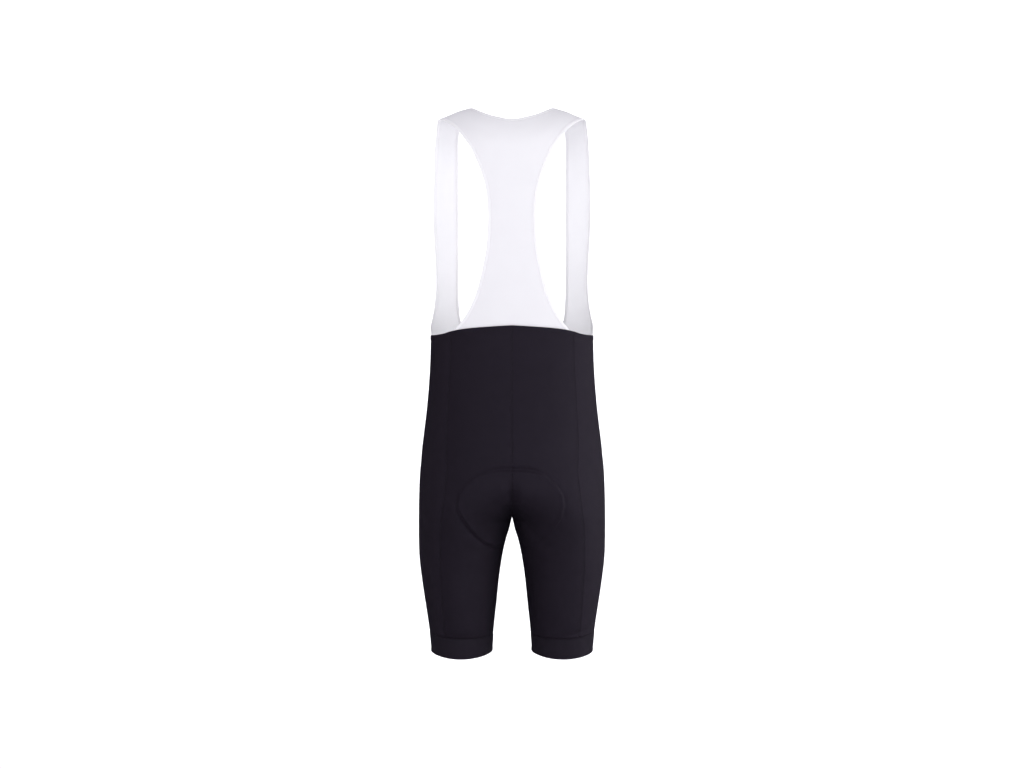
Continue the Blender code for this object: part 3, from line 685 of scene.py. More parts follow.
shortsGrid = {
    "coarseStep": 0.0034,
    "padStep": 0.0021,  # closer rows over the pad
    "padTop": -0.580,
    "padFoot": -0.745,
    "padFade": 0.02,
    "seamWeight": 0.55,  # share of a centre seam's slope that counts in its rows' distances
    "seamReach": 0.8,  # share of a panel's width over which its rows level out from that seam
    "samples": 4000,
    "spanSamples": 420,
    "columns": {"back": 62, "side": 34, "front": 52},
    "nearSeam": (0.0, 0.0005, 0.0010, 0.0017, 0.0026),  # distances of the columns beside a seam
    "relaxPasses": 90,
    "relaxReach": 55.0,  # degrees round from the centre seams
    "waistFade": 0.150,
    "bandRise": 0.0060,  # how far the leg band's seam rises at the side
    "bandFade": 0.060,
    "cleftWidth": 0.017,
    "cleftDepth": 0.100,  # share of the depth by which the cleft is drawn in behind
    "cleftRamp": (0.600, 0.660),  # drop from the shoulder over which it sets in
}


def rowHeights():  # heights of the rows at the centre seam and at the side
    made = shortsGrid
    dense = np.linspace(waistSide, bandSeam + seams["gap"] / 2, made["samples"])
    section = bodySection(dense)
    depth = np.abs(barePoint(section, -section["end"])[1])
    top, foot, fade = -made["padTop"], -made["padFoot"], made["padFade"]
    inPad = ease(-dense, top - fade, top) * (1 - ease(-dense, foot, foot + fade))
    step = mix(made["coarseStep"], made["padStep"], inPad)
    drop = np.abs(np.gradient(dense))
    bySide = np.cumsum(drop / step)
    bySeam = np.cumsum(np.hypot(drop, made["seamWeight"] * np.gradient(depth)) / step)
    share = np.linspace(0, 1, int(bySeam[-1]) + 1)
    return [np.interp(share, (by - by[0]) / (by[-1] - by[0]), dense) for by in (bySeam, bySide)]


def panelSpan(panel, height):  # first and last angle of a panel at each height, its seams left open
    section = bodySection(height)
    rear = np.radians(curve(sideSeams, "rear", height))
    fore = np.radians(curve(sideSeams, "fore", height))
    slit = seams["gap"] / 2 / section["radius"]
    inside = np.where(section["parted"] >= 1, seams["gap"] / 2 / section["behind"], 0)
    return {
        "back": (inside - section["end"], rear - slit),
        "side": (rear + slit, fore - slit),
        "front": (fore + slit, section["end"] - inside),
    }[panel]


def bandRise(angle):
    return shortsGrid["bandRise"] * np.maximum(0, np.cos(angle)) ** 2


def shortsPoint(height, angle):
    fade = np.maximum(0, 1 - (waistSide - height) / shortsGrid["waistFade"]) ** 2
    edge = curve(waistEdge, "height", np.degrees(angle)) - waistSide
    low = np.maximum(0, 1 - (height - bandSeam) / shortsGrid["bandFade"]) ** 2
    point = bodyPoint(height + edge * fade + bandRise(angle) * low, angle)
    near = 1 - ease(point[..., 0], 0, shortsGrid["cleftWidth"])
    drawn = near * ease(-point[..., 2], *shortsGrid["cleftRamp"])
    point[..., 1] *= np.where(point[..., 1] < 0, 1 - shortsGrid["cleftDepth"] * drawn, 1)
    point[..., 0] = np.maximum(point[..., 0], seams["gap"] / 2)
    return point


# Columns at even distances across a panel, closer beside its seams, as heights and angles
def panelAngles(panel, seamHeights, sideHeights, count):
    share, reach = np.linspace(0, 1, shortsGrid["spanSamples"]), shortsGrid["seamReach"]
    fromBack, fromFront = 1 - ease(share, 0, reach), ease(share, 1 - reach, 1)
    pull = {"back": fromBack, "side": 0 * share, "front": fromFront}[panel]
    height = mix(sideHeights[:, None], seamHeights[:, None], pull[None, :])
    start, end = panelSpan(panel, height)
    angle = mix(start, end, share[None, :])
    points = shortsPoint(height, angle)
    run = sideways(lengthsAlong, points)
    near = np.array(shortsGrid["nearSeam"])
    heights, angles = [], []
    for k in range(len(run)):
        inner = np.linspace(near[-1], run[k, -1] - near[-1], count - 2 * len(near) + 2)[1:-1]
        places = np.concatenate([near, inner, run[k, -1] - near[::-1]])
        at = np.interp(places, run[k], share)
        heights.append(np.interp(at, share, height[k]))
        angles.append(np.interp(at, share, angle[k]))
    return np.array(heights), np.array(angles)


def relaxed(grid, angles):  # rows drawn towards their neighbours, less so near the centre seams
    reach = math.radians(shortsGrid["relaxReach"])
    firm = np.minimum(np.abs(angles - angles[:, :1]), np.abs(angles - angles[:, -1:])) / reach
    loose = np.minimum(firm, 1)[1:-1, :, None] ** 2
    for _ in range(shortsGrid["relaxPasses"]):
        grid[1:-1] += ((grid[:-2] + grid[2:]) / 2 - grid[1:-1]) * loose / 2
    return grid


def shortsHalf():  # the right half, its three panels side by side
    seamHeights, sideHeights = rowHeights()
    parts = [
        panelAngles(panel, seamHeights, sideHeights, count)
        for panel, count in shortsGrid["columns"].items()
    ]
    heights = np.concatenate([part[0] for part in parts], 1)
    angles = np.concatenate([part[1] for part in parts], 1)
    grid = relaxed(shortsPoint(heights, angles), angles)
    normals = gridNormals(grid)
    crotchRow = int(np.argmin(np.abs(seamHeights - crotch)))
    clear = len(shortsGrid["nearSeam"])  # the columns beside a centre seam lean as the first clear one
    for end, step in ((0, 1), (-1, -1)):  # the centre seams behind and in front
        beside = normals[:crotchRow, end + step * clear].copy()
        for k in range(clear):
            normals[:crotchRow, end + step * k] = beside * (k / clear, 1, 1)
        normals[crotchRow, end] = (0, 0, -1)
        normals[crotchRow + 1 :, end] = (-1, 0, 0)
    seam = -1
    for count in list(shortsGrid["columns"].values())[:-1]:
        seam += count
        normals[:, seam] = normals[:, seam + 1] = normals[:, seam] + normals[:, seam + 1]
    normals = unit(normals)
    return {"seamHeights": seamHeights, "angles": angles, "heights": heights, "outer": grid, "out": normals}


# Outline of the seat pad as it shows through: distance from the centre, height, depth and width of
# the groove round it, and the rise of the lip just inside. Side 1 is the wearer's right.
padLines = {
    ("back", 1): (
        (0.0000, -0.5935, 0.00130, 0.0027, 0.0003),
        (0.0290, -0.5945, 0.00120, 0.0029, 0.0003),
        (0.0535, -0.6014, 0.00025, 0.0022, 0.0003),
        (0.0730, -0.6176, 0.00045, 0.0014, 0.0006),
        (0.0840, -0.6354, 0.00055, 0.0013, 0.0007),
        (0.0868, -0.6530, 0.00055, 0.0013, 0.0007),
        (0.0826, -0.6727, 0.00045, 0.0014, 0.0007),
        (0.0713, -0.6920, 0.00045, 0.0016, 0.0005),
        (0.0600, -0.7050, 0.00020, 0.0020, 0.0002),
        (0.0440, -0.7190, 0.00005, 0.0024, 0.0001),
        (0.0275, -0.7294, 0.00000, 0.0024, 0.0000),
        (0.0000, -0.7330, 0.00000, 0.0024, 0.0000),
    ),
    ("back", -1): (
        (0.0000, -0.5935, 0.00120, 0.0022, 0.0002),
        (0.0300, -0.5940, 0.00080, 0.0018, 0.0001),
        (0.0520, -0.5990, 0.00010, 0.0020, 0.0001),
        (0.0740, -0.6130, 0.00005, 0.0024, 0.0002),
        (0.0880, -0.6340, 0.00020, 0.0030, 0.0003),
        (0.0910, -0.6500, 0.00050, 0.0034, 0.0004),
        (0.0885, -0.6640, 0.00080, 0.0036, 0.0004),
        (0.0790, -0.6808, 0.00100, 0.0036, 0.0004),
        (0.0650, -0.7000, 0.00110, 0.0036, 0.0004),
        (0.0486, -0.7164, 0.00110, 0.0036, 0.0004),
        (0.0324, -0.7261, 0.00100, 0.0034, 0.0003),
        (0.0000, -0.7330, 0.00010, 0.0030, 0.0000),
    ),
}
padFront = (
    (0.000, -0.5930, 0.00030, 0.0022, 0.0002),
    (0.012, -0.5945, 0.00035, 0.0022, 0.0002),
    (0.023, -0.6050, 0.00040, 0.0022, 0.0003),
    (0.035, -0.6250, 0.00045, 0.0022, 0.0003),
    (0.047, -0.6500, 0.00045, 0.0024, 0.0004),
    (0.056, -0.6720, 0.00045, 0.0024, 0.0004),
    (0.058, -0.6940, 0.00040, 0.0026, 0.0003),
    (0.053, -0.7080, 0.00025, 0.0026, 0.0002),
    (0.030, -0.7260, 0.00010, 0.0026, 0.0001),
    (0.000, -0.7330, 0.00000, 0.0026, 0.0000),
)
padLines["front", 1] = padLines["front", -1] = padFront
padShow = {
    "facing": (0.10, 0.45),  # cloth that turns sideways loses the outline over this range
    "plateau": 0.0016,
    "ramp": 0.0060,
    "rampOut": 0.2,  # share of the ramp that lies outside the outline
    "grooveOut": 0.0010,
    "lipIn": 0.0045,
    "lipWidth": 0.0026,
    "deeper": 2.3,  # times the groove and the lip are drawn deeper, so that black cloth shows them
}


def padRelief(grid, normals, panel, side):  # how far the cloth stands out over the pad
    rows = np.array(padLines[panel, side])
    plane = np.stack([np.abs(grid[..., 0]), grid[..., 2]], -1)
    distance, along, turn = lineDistance(plane, rows[:, :2])
    signed = distance * -turn  # positive inside the outline
    show = padShow
    depth, width, lip = (np.interp(along, range(len(rows)), rows[:, k]) for k in (2, 3, 4))
    depth, lip = depth * show["deeper"], lip * show["deeper"]
    move = show["plateau"] * ease(signed, -show["rampOut"] * show["ramp"], show["ramp"])
    move -= depth * bell(signed + show["grooveOut"], width)
    move += lip * bell(signed - show["lipIn"], show["lipWidth"])
    return move * ease(np.abs(normals[..., 1]), *show["facing"])


shortsCreases = [
    # under the seat, from the cleft outwards
    ("back", -0.0009, 0.0060, [(0.008, -0.662), (0.028, -0.690), (0.052, -0.716), (0.070, -0.732)]),
    ("back", 0.0007, 0.0080, [(0.012, -0.690), (0.030, -0.712), (0.052, -0.740)]),
    ("back", -0.0006, 0.0070, [(-0.010, -0.640), (-0.024, -0.652), (-0.040, -0.655)]),
    ("back", 0.0006, 0.0100, [(-0.030, -0.735), (-0.062, -0.745), (-0.100, -0.742)]),
    # from the seam's end up over the seat
    ("back", -0.0005, 0.0090, [(0.020, -0.610), (0.045, -0.622), (0.066, -0.645)]),
    ("back", -0.0004, 0.0120, [(-0.040, -0.480), (-0.055, -0.520), (-0.075, -0.550)]),
    ("back", -0.0004, 0.0130, [(0.035, -0.470), (0.060, -0.505), (0.085, -0.530)]),
    # above the leg bands
    ("back", -0.0020, 0.0042, [(-0.137, -0.868), (-0.110, -0.874), (-0.082, -0.8765), (-0.048, -0.8740)]),
    ("back", -0.0018, 0.0042, [(0.058, -0.8765), (0.088, -0.8745), (0.112, -0.870), (0.137, -0.864)]),
    ("front", -0.0009, 0.0050, [(-0.128, -0.872), (-0.095, -0.876), (-0.060, -0.873)]),
    ("front", -0.0010, 0.0050, [(0.050, -0.872), (0.082, -0.876), (0.126, -0.870)]),
    # down the thighs, where the cloth is drawn towards the hem
    ("back", 0.0006, 0.0110, [(-0.105, -0.760), (-0.101, -0.800), (-0.096, -0.850)]),
    ("back", 0.0005, 0.0100, [(0.070, -0.770), (0.074, -0.815), (0.080, -0.855)]),
    ("back", -0.0005, 0.0120, [(0.100, -0.740), (0.101, -0.790), (0.102, -0.840)]),
    ("front", 0.0006, 0.0110, [(0.100, -0.750), (0.094, -0.800), (0.088, -0.850)]),
    ("front", -0.0005, 0.0110, [(-0.080, -0.760), (-0.083, -0.810), (-0.086, -0.850)]),
    # groin
    ("front", -0.0012, 0.0065, [(0.012, -0.668), (0.040, -0.648), (0.078, -0.622), (0.108, -0.598)]),
    ("front", -0.0011, 0.0070, [(-0.014, -0.666), (-0.046, -0.645), (-0.080, -0.626), (-0.116, -0.606)]),
    ("front", 0.0008, 0.0090, [(0.020, -0.690), (0.055, -0.664), (0.100, -0.632)]),
    ("front", 0.0007, 0.0090, [(-0.024, -0.690), (-0.060, -0.668), (-0.096, -0.644)]),
    ("front", -0.0006, 0.0080, [(0.030, -0.700), (0.062, -0.692), (0.092, -0.676)]),
    ("front", -0.0006, 0.0080, [(-0.034, -0.706), (-0.060, -0.700), (-0.084, -0.688)]),
    # hips and front waist
    ("right", -0.0005, 0.0110, [(-0.050, -0.540), (-0.020, -0.570), (0.020, -0.590)]),
    ("left", -0.0005, 0.0110, [(-0.060, -0.560), (-0.020, -0.584), (0.030, -0.596)]),
    ("front", -0.0006, 0.0100, [(-0.090, -0.420), (-0.050, -0.436), (0.000, -0.440), (0.050, -0.435)]),
]


def sunkSeams(move, first, last):  # the cloth dips into the seam at its first and last column
    for k, away in enumerate(shortsGrid["nearSeam"]):
        move[:, k] -= first * bell(away, seams["dipWidth"])
        move[:, -1 - k] -= last * bell(away, seams["dipWidth"])
    return move


waistTurn = {"wide": 0.0085, "thick": 0.0005, "step": 0.0006, "groove": 0.00035, "grooveWidth": 0.0011}


def turnedEdge(run, turn):  # cloth turned in at its edge stands out and ends in a stitched groove
    wide, step = turn["wide"], turn["step"]
    raised = turn["thick"] * (1 - ease(run, wide - step, wide + step))
    return raised - turn["groove"] * bell(run - wide, turn["grooveWidth"])


def seamDip(run):
    return seams["dip"] * bell(run, seams["dipWidth"])


def fromFoot(grid):  # distance up from its last row
    return lengthsAlong(grid[::-1])[::-1]


# Outer and inner face of a panel, relieved by the pad and creases
def panelFaces(grid, out, panel, side):
    move = creases(grid, out, shortsCreases)
    if panel != "side":
        move += padRelief(grid, out, panel, side)
    drop = -grid[:, 0 if side > 0 else -1, 2]
    centre = seams["dip"] * mix(seams["faint"], 1.0, ease(drop, *seams["deepens"]))
    ends = [centre if panel == "back" else seams["dip"], seams["dip"]]
    move = sunkSeams(move, *(ends if side > 0 else ends[::-1]))
    move += turnedEdge(lengthsAlong(grid), waistTurn) - seamDip(fromFoot(grid))
    outer = grid + out * move[..., None]
    inner = grid + out * (np.minimum(move, 0) - cloth["shorts"])[..., None]
    for face in (outer, inner):
        face[..., 0] = side * np.maximum(side * face[..., 0], seams["gap"] / 2)
    return outer, inner


def makeShorts(half):  # six panels, each closed into a thin wall
    pieces = {}
    first = 0
    for panel, count in shortsGrid["columns"].items():
        columns = slice(first, first + count)
        first += count
        # the side panels take the lighter knit, a painted sheen
        knit = sheenSideKnit if panel == "side" else blackKnit
        for side, name in sides:
            grid, out = half["outer"][:, columns], half["out"][:, columns]
            if side < 0:
                grid, out = mirrored(grid), mirrored(out)
            outer, inner = panelFaces(grid, out, panel, side)
            names = (f"shorts_{panel}_{name}", "cloth", "black_knit")
            pieces[panel, side] = makePanel(*names, outer, inner, out, flatMap(grid), knit, rolls["shorts"])
    return pieces


half = shortsHalf()
shortsPieces = makeShorts(half)
print("shorts ready")


# Leg bands

band = {
    "columns": 150,
    "rows": 14,
    "proud": 0.0004,
    "waver": 0.00025,
}
hemTurn = {"wide": 0.0050, "thick": 0.0005, "step": 0.0005, "groove": 0.0003, "grooveWidth": 0.0009}


# Elastic tubes that hold the legs. The edge is folded up, and dips a little behind.
def makeBands():
    angle = np.linspace(-math.pi, math.pi, band["columns"], endpoint=False)
    share = np.linspace(0, 1, band["rows"])[:, None]
    dip = hemDipBehind * np.maximum(0, -np.sin(angle)) ** 2
    height = mix(bandSeam - seams["gap"] / 2 + bandRise(angle), hem - dip, share)
    grid = bodyPoint(height, angle[None, :])
    normals = gridNormals(grid, closed=True)
    pieces = {}
    for side, name in sides:
        points, out = (grid, normals) if side > 0 else (mirrored(grid), mirrored(normals))
        move = band["proud"] + turnedEdge(fromFoot(points), hemTurn) - seamDip(lengthsAlong(points))
        move = move + band["waver"] * np.sin(3 * angle + side)[None, :] * np.sin(math.pi * share)
        outer = points + out * move[..., None]
        inner = points - out * (cloth["band"] - band["proud"])
        names = (f"leg_band_{name}", "elastic", "black_elastic")
        flat = flatMap(points, closed=True)
        pieces[side] = makePanel(*names, outer, inner, out, flat, bandElastic, rolls["band"], True)
    return pieces


bandPieces = makeBands()
print("leg bands ready")


# Seat pad

pad = {
    "lines": 14,
    "across": 11,
    "fineRows": 84,
    "fineColumns": 76,
    "thick": 0.0070,
    "rim": 0.0014,
    "gap": 0.0022,
    "crownPower": 3,
    "columnPower": 1.35,
    "legRadius": 0.080,
    "channelDepth": 0.0026,
    "channelWidth": 0.06,
    "channelEnd": (0.62, 0.80),  # shares of the way from its middle over which it fades
    "wingAt": 0.62,
    "wingDepth": 0.0016,
    "wingWidth": 0.055,
}
# How far round the leg the pad reaches from the centre seam, in degrees, behind and in front
padBehind = table(
    "height reach",
    (-0.5935, 0), (-0.5945, 17), (-0.6010, 25), (-0.6170, 33), (-0.6350, 44), (-0.6510, 53),
    (-0.6720, 68), (-0.6940, 83), (-0.7050, 75), (-0.7200, 60), (-0.7330, 42), (-0.7430, 0),
)
padBefore = table(
    "height reach",
    (-0.5930, 0), (-0.5945, 8), (-0.6050, 14), (-0.6250, 24), (-0.6500, 36), (-0.6720, 50),
    (-0.6940, 60), (-0.7050, 58), (-0.7200, 50), (-0.7330, 36), (-0.7430, 0),
)


# A point on the inner face of the right half and the way into the garment
def insideOfShorts(height, angle):
    base = np.concatenate([half["outer"] - half["out"] * cloth["shorts"], half["out"]], -1)
    angles, heights = half["angles"], half["heights"]
    found = []
    for row, rowAngles, rowHeights in zip(base, angles, heights):
        column = np.interp(angle, rowAngles, np.arange(len(rowAngles)))
        left = min(int(column), len(rowAngles) - 2)
        point = mix(row[left], row[left + 1], column - left)
        found.append([mix(rowHeights[left], rowHeights[left + 1], column - left), *point])
    found = np.array(found)
    point = [np.interp(-height, -found[:, 0], found[:, k]) for k in range(1, 7)]
    return point[:3], [-v for v in point[3:]]


# Lines across one half of the pad, from the centre seam to its outline; side is -1 behind
def padHalf(outline, side):
    rows = np.stack([outline["height"], np.radians(outline["reach"])], -1)[::-1]
    steps = np.hypot(np.diff(rows[:, 0]), np.diff(rows[:, 1]) * pad["legRadius"])
    run = np.concatenate([[0], np.cumsum(steps)])
    lines = []
    for share in np.linspace(0, 1, pad["lines"]):
        seam = mix(rows[0, 0], crotch, math.sin(share * math.pi / 2))
        edge, reach = (np.interp(share * run[-1], run, rows[:, k]) for k in (0, 1))
        first, last = side * bodySection(seam)["end"], side * (bodySection(edge)["end"] - reach)
        outs = np.linspace(0, 1, pad["across"]) ** pad["columnPower"]
        lines.append([insideOfShorts(mix(seam, edge, o), mix(first, last, o)) for o in outs])
    return np.array(lines)


# Moulded foam under a brushed knit, crowned, with a channel down its middle and two soft folds
# that let its wings turn round the thighs. It is curved to the shorts that it is sewn into.
def makePad():
    right = np.concatenate([padHalf(padBehind, -1), padHalf(padBefore, 1)[-2::-1]])
    grid, inward = (np.concatenate([mirrored(right[:, 1:, k]), right[:, :, k]], 1) for k in (0, 1))
    middleRow, middle = pad["lines"] - 1, pad["across"] - 1
    inward[:, middle, 0] = 0
    inward[middleRow, middle] = (0, 0, 1)
    inward[middleRow, middle + 1 :] = (1, 0, 0)
    inward[middleRow, :middle] = (-1, 0, 0)
    grid = finerGrid(grid, pad["fineRows"], pad["fineColumns"])
    inward = unit(finerGrid(unit(inward), pad["fineRows"], pad["fineColumns"]))
    across = np.linspace(-1, 1, pad["fineColumns"])[None, :]
    along = np.linspace(-1, 1, pad["fineRows"])[:, None]
    power = pad["crownPower"]
    crown = np.sqrt((1 - np.abs(across) ** power) * (1 - np.abs(along) ** power))
    channel = bell(across, pad["channelWidth"]) * (1 - ease(np.abs(along), *pad["channelEnd"]))
    wings = bell(np.abs(across) - pad["wingAt"], pad["wingWidth"])
    thick = pad["rim"] + (pad["thick"] - pad["rim"]) * crown
    thick = thick - (pad["channelDepth"] * channel + pad["wingDepth"] * wings) * crown
    face = grid + inward * pad["gap"]
    piece = makeWall("seat_pad_foam", face, face + inward * thick[..., None], flatMap(face), padKnit)
    dress(piece, "pad_foam", "seat_pad")
    return piece


seatPad = makePad()
print("seat pad ready")


# Bib: the back, two front straps and the bound edges

shoulder = {
    "rise": 0.085,  # from where the back hangs straight up to the ridge
    "seam": 8.0,  # degrees forward of the ridge
    "neck": 0.0720,
    "across": 0.1268,
}
ridge = table(
    "across height",
    (0.000, 0.0160), (0.045, 0.0150), (0.0714, 0.0114), (0.090, 0.0067), (0.107, 0.0000),
    (0.1207, -0.0056), (0.1275, -0.0098), (0.150, -0.0260),
)
neckline = table(
    "across height",
    (-0.0270, -0.0144), (0.0000, -0.0203), (0.0270, -0.0144), (0.0480, -0.0057), (0.0720, 0.0113),
)
# Half width of the back: over the shoulder by the turn from its ridge, then by height
yokeEdge = table(
    "turn across",
    (-10, 0.1270), (0, 0.1268), (22, 0.1180), (44, 0.1035), (59, 0.0910), (73, 0.0798), (90, 0.0655),
)
bibEdge = table(
    "height across",
    (-0.0730, 0.0655), (-0.1050, 0.0521), (-0.1400, 0.0420), (-0.1800, 0.0388), (-0.2240, 0.0407),
    (-0.2630, 0.0473), (-0.3020, 0.0572), (-0.3300, 0.0688), (-0.3500, 0.0810), (-0.3690, 0.0970),
)
strapTurn = table(
    "turn inner outer",
    (0, 0.0720, 0.1268), (20, 0.0810, 0.1285), (38, 0.0898, 0.1312), (56, 0.0938, 0.1335),
    (90, 0.0943, 0.1362),
)
strapEdge = table(
    "height inner outer",
    (-0.0750, 0.0944, 0.1358), (-0.1000, 0.0946, 0.1364), (-0.1300, 0.0947, 0.1373),
    (-0.1700, 0.0947, 0.1369), (-0.2100, 0.0947, 0.1350), (-0.2600, 0.0947, 0.1320),
    (-0.2850, 0.0946, 0.1314), (-0.3150, 0.0940, 0.1330), (-0.3400, 0.0918, 0.1362),
    (-0.3600, 0.0850, 0.1384), (-0.3750, 0.0760, 0.1390), (-0.3990, 0.0520, 0.1390),
)
bib = {
    "neckSamples": 500,
    "neckColumns": 34,
    "turnColumns": 6,
    "seamColumns": 20,
    "yokeRows": 40,
    "evenColumns": 0.5,  # 0 spaces the columns as at the top edge, 1 evenly
    "fanFrom": 30.0,  # turn below which the columns run straight back from the neck
    "backRows": 92,
    "strapColumns": 26,
    "strapTurnRows": 34,
    "strapRows": 96,
    "strapFoot": (70.0, 1.5),  # angles of its inner and outer edge at the waist
    "strapTurns": 0.88,  # share of its length from which it turns to them
    "tuckRows": 4,
    "tuckDown": 0.0055,  # the foot goes on behind the waist of the shorts
    "tuckIn": 0.00155,
    "tuckRamp": 0.0045,
}


def stepsDown(count):  # shares of the way down, without its start
    return np.linspace(0, 1, count + 1)[1:, None]


def shoulderPoint(across, turn):  # over the shoulder, the turn from its ridge in degrees, backwards
    across, turn = np.broadcast_arrays(np.asarray(across, float), np.radians(turn))
    height = curve(ridge, "height", across) - shoulder["rise"] * (1 - np.cos(turn))
    angle = angleAt(height, across)
    point = bodyPoint(height, np.where(turn < 0, angle, -angle))
    point[..., 0] = across
    point[..., 1] *= np.sin(np.abs(turn))
    return point


def turnAt(across, height):  # turn from the ridge at which the shoulder is this high
    fall = np.maximum(curve(ridge, "height", across) - height, 0)
    return np.degrees(np.arccos(1 - fall / shoulder["rise"]))


def neckEdge():  # from the centre back to the shoulder seam, at even distances
    across = shoulder["neck"] * (1 - (1 - np.linspace(0, 1, bib["neckSamples"])) ** 2)
    run = lengthsAlong(shoulderPoint(across, turnAt(across, curve(neckline, "height", across))))
    across = np.interp(np.linspace(0, run[-1], bib["neckColumns"]), run, across)
    turns = turnAt(across, curve(neckline, "height", across))
    onward = np.linspace(0, shoulder["seam"], bib["turnColumns"])[1:]
    across = np.concatenate([across, curve(strapTurn, "inner", onward)])
    return shoulderPoint(across, np.concatenate([turns, -onward]))


def tucked(grid, edge):  # lower rows led in behind the waist; edge is its height at each column
    out = gridNormals(grid)
    above = grid[..., 2] - edge
    return grid - out * (bib["tuckIn"] * (1 - ease(above, 0.0, bib["tuckRamp"])))[..., None]


def backGrid():
    tops = neckEdge()
    seam = np.linspace(tops[-1, 0], shoulder["across"], bib["seamColumns"])
    tops = np.concatenate([tops, shoulderPoint(seam[1:], -shoulder["seam"])])
    share = mix(tops[:, 0] / shoulder["across"], np.linspace(0, 1, len(tops)), bib["evenColumns"])
    topTurn = np.copysign(turnAt(tops[:, 0], tops[:, 2]), -tops[:, 1])
    turn = mix(topTurn, 90, stepsDown(bib["yokeRows"]))
    edge = curve(yokeEdge, "across", turn)
    aside = np.clip((tops[:, 0] - seam[0]) / (shoulder["across"] - seam[0]), 0, 1)
    straight = tops[:, 0] - (shoulder["across"] - edge) * aside
    fan = ease(turn, np.maximum(topTurn, bib["fanFrom"]), 90)
    yoke = shoulderPoint(mix(straight, share * edge, fan), turn)
    footHeight, footAcross = bibEdge["height"][0], bibEdge["across"][0]
    foot = curve(waistEdge, "height", -np.degrees(angleAt(footHeight, share * footAcross)))
    edgeTop = yoke[-1, -1, 2]
    down = stepsDown(bib["backRows"])
    across = share * curve(bibEdge, "across", mix(edgeTop, foot[-1], down))
    height = mix(yoke[-1, :, 2], foot, down)
    lower = bodyPoint(height, -angleAt(height, across))
    under = bib["tuckDown"] * stepsDown(bib["tuckRows"])
    hidden = bodyPoint(foot - under, -angleAt(foot - under, share * curve(bibEdge, "across", foot[-1])))
    right = np.concatenate([tops[None], yoke, lower, hidden])
    grid = np.concatenate([mirrored(right[:, 1:]), right], 1)
    edge = np.concatenate([foot[:0:-1], foot])
    return tucked(grid, edge)


def strapGrid():  # the right strap, its columns from the outer edge to the inner one
    share = np.linspace(1, 0, bib["strapColumns"])
    turn = np.linspace(shoulder["seam"], 90, bib["strapTurnRows"])[:, None]
    across = mix(curve(strapTurn, "inner", turn), curve(strapTurn, "outer", turn), share)
    over = shoulderPoint(across, -turn)
    footAngle = np.radians(mix(*bib["strapFoot"], share))
    foot = curve(waistEdge, "height", np.degrees(footAngle))
    down = stepsDown(bib["strapRows"])
    height = mix(over[-1, :, 2], foot, down)
    inner = angleAt(height[:, -1], curve(strapEdge, "inner", height[:, -1]))[:, None]
    outer = angleAt(height[:, 0], curve(strapEdge, "outer", height[:, 0]))[:, None]
    angle = mix(mix(inner, outer, share), footAngle, ease(down, bib["strapTurns"], 1.0))
    under = bib["tuckDown"] * stepsDown(bib["tuckRows"])
    hidden = bodyPoint(foot - under, footAngle[None, :])
    return tucked(np.concatenate([over, bodyPoint(height, angle), hidden]), foot)


bibCreases = [
    ("back", -0.0007, 0.0090, [(-0.020, -0.055), (-0.045, -0.040), (-0.078, -0.024)]),
    ("back", 0.0006, 0.0100, [(0.022, -0.062), (0.050, -0.046), (0.084, -0.026)]),
    ("back", -0.0005, 0.0080, [(0.012, -0.100), (0.026, -0.150), (0.020, -0.205)]),
    ("back", 0.0005, 0.0090, [(-0.016, -0.110), (-0.024, -0.160), (-0.019, -0.220)]),
    ("back", -0.0005, 0.0100, [(-0.022, -0.250), (-0.038, -0.300), (-0.064, -0.345)]),
    ("back", 0.0004, 0.0100, [(0.020, -0.240), (0.036, -0.300), (0.060, -0.350)]),
    ("front", -0.0005, 0.0070, [(0.110, -0.060), (0.115, -0.120), (0.112, -0.180)]),
    ("front", 0.0005, 0.0070, [(-0.106, -0.070), (-0.114, -0.130), (-0.116, -0.200)]),
    ("front", -0.0006, 0.0080, [(0.108, -0.300), (0.098, -0.345), (0.078, -0.385)]),
    ("front", -0.0005, 0.0080, [(-0.110, -0.290), (-0.104, -0.340), (-0.086, -0.382)]),
]


def makeBib():
    pieces = {}
    back, strap = backGrid(), strapGrid()
    strap[0] += unit(strap[1] - strap[0]) * seams["gap"]
    grids = {"bib_back": back, "strap_right": strap, "strap_left": mirrored(strap)}
    for name, grid in grids.items():
        out = gridNormals(grid)
        shaped = grid + out * creases(grid, out, bibCreases)[..., None]
        inner = shaped - out * cloth["bib"]
        flat = flatMap(grid, level=bib["yokeRows" if name == "bib_back" else "strapTurnRows"])
        mesh = bibMesh if name == "bib_back" else strapMesh
        names = (name, "cloth", "white_mesh")
        pieces[name] = makePanel(*names, shaped, inner, out, flat, mesh, rolls["bib"])
    return pieces


bibPieces = makeBib()
print("bib ready")


# Folded edge elastic, seen in section: inwards from the edge of the cloth and out of its face
binding = {
    "step": 0.0022,
    "width": 0.0046,
    "fold": 0.00055,
    "foldIn": 0.2,  # share of the fold's roundness that lies on the cloth
    "leaf": 0.00042,
    "slack": 0.00004,
    "core": 0.0001,
    "tip": 0.35,  # share of the leaf's thickness that its tip loses
    "tipFrom": (0.0014, 0.0003),
    "stitchAt": 0.0034,
}


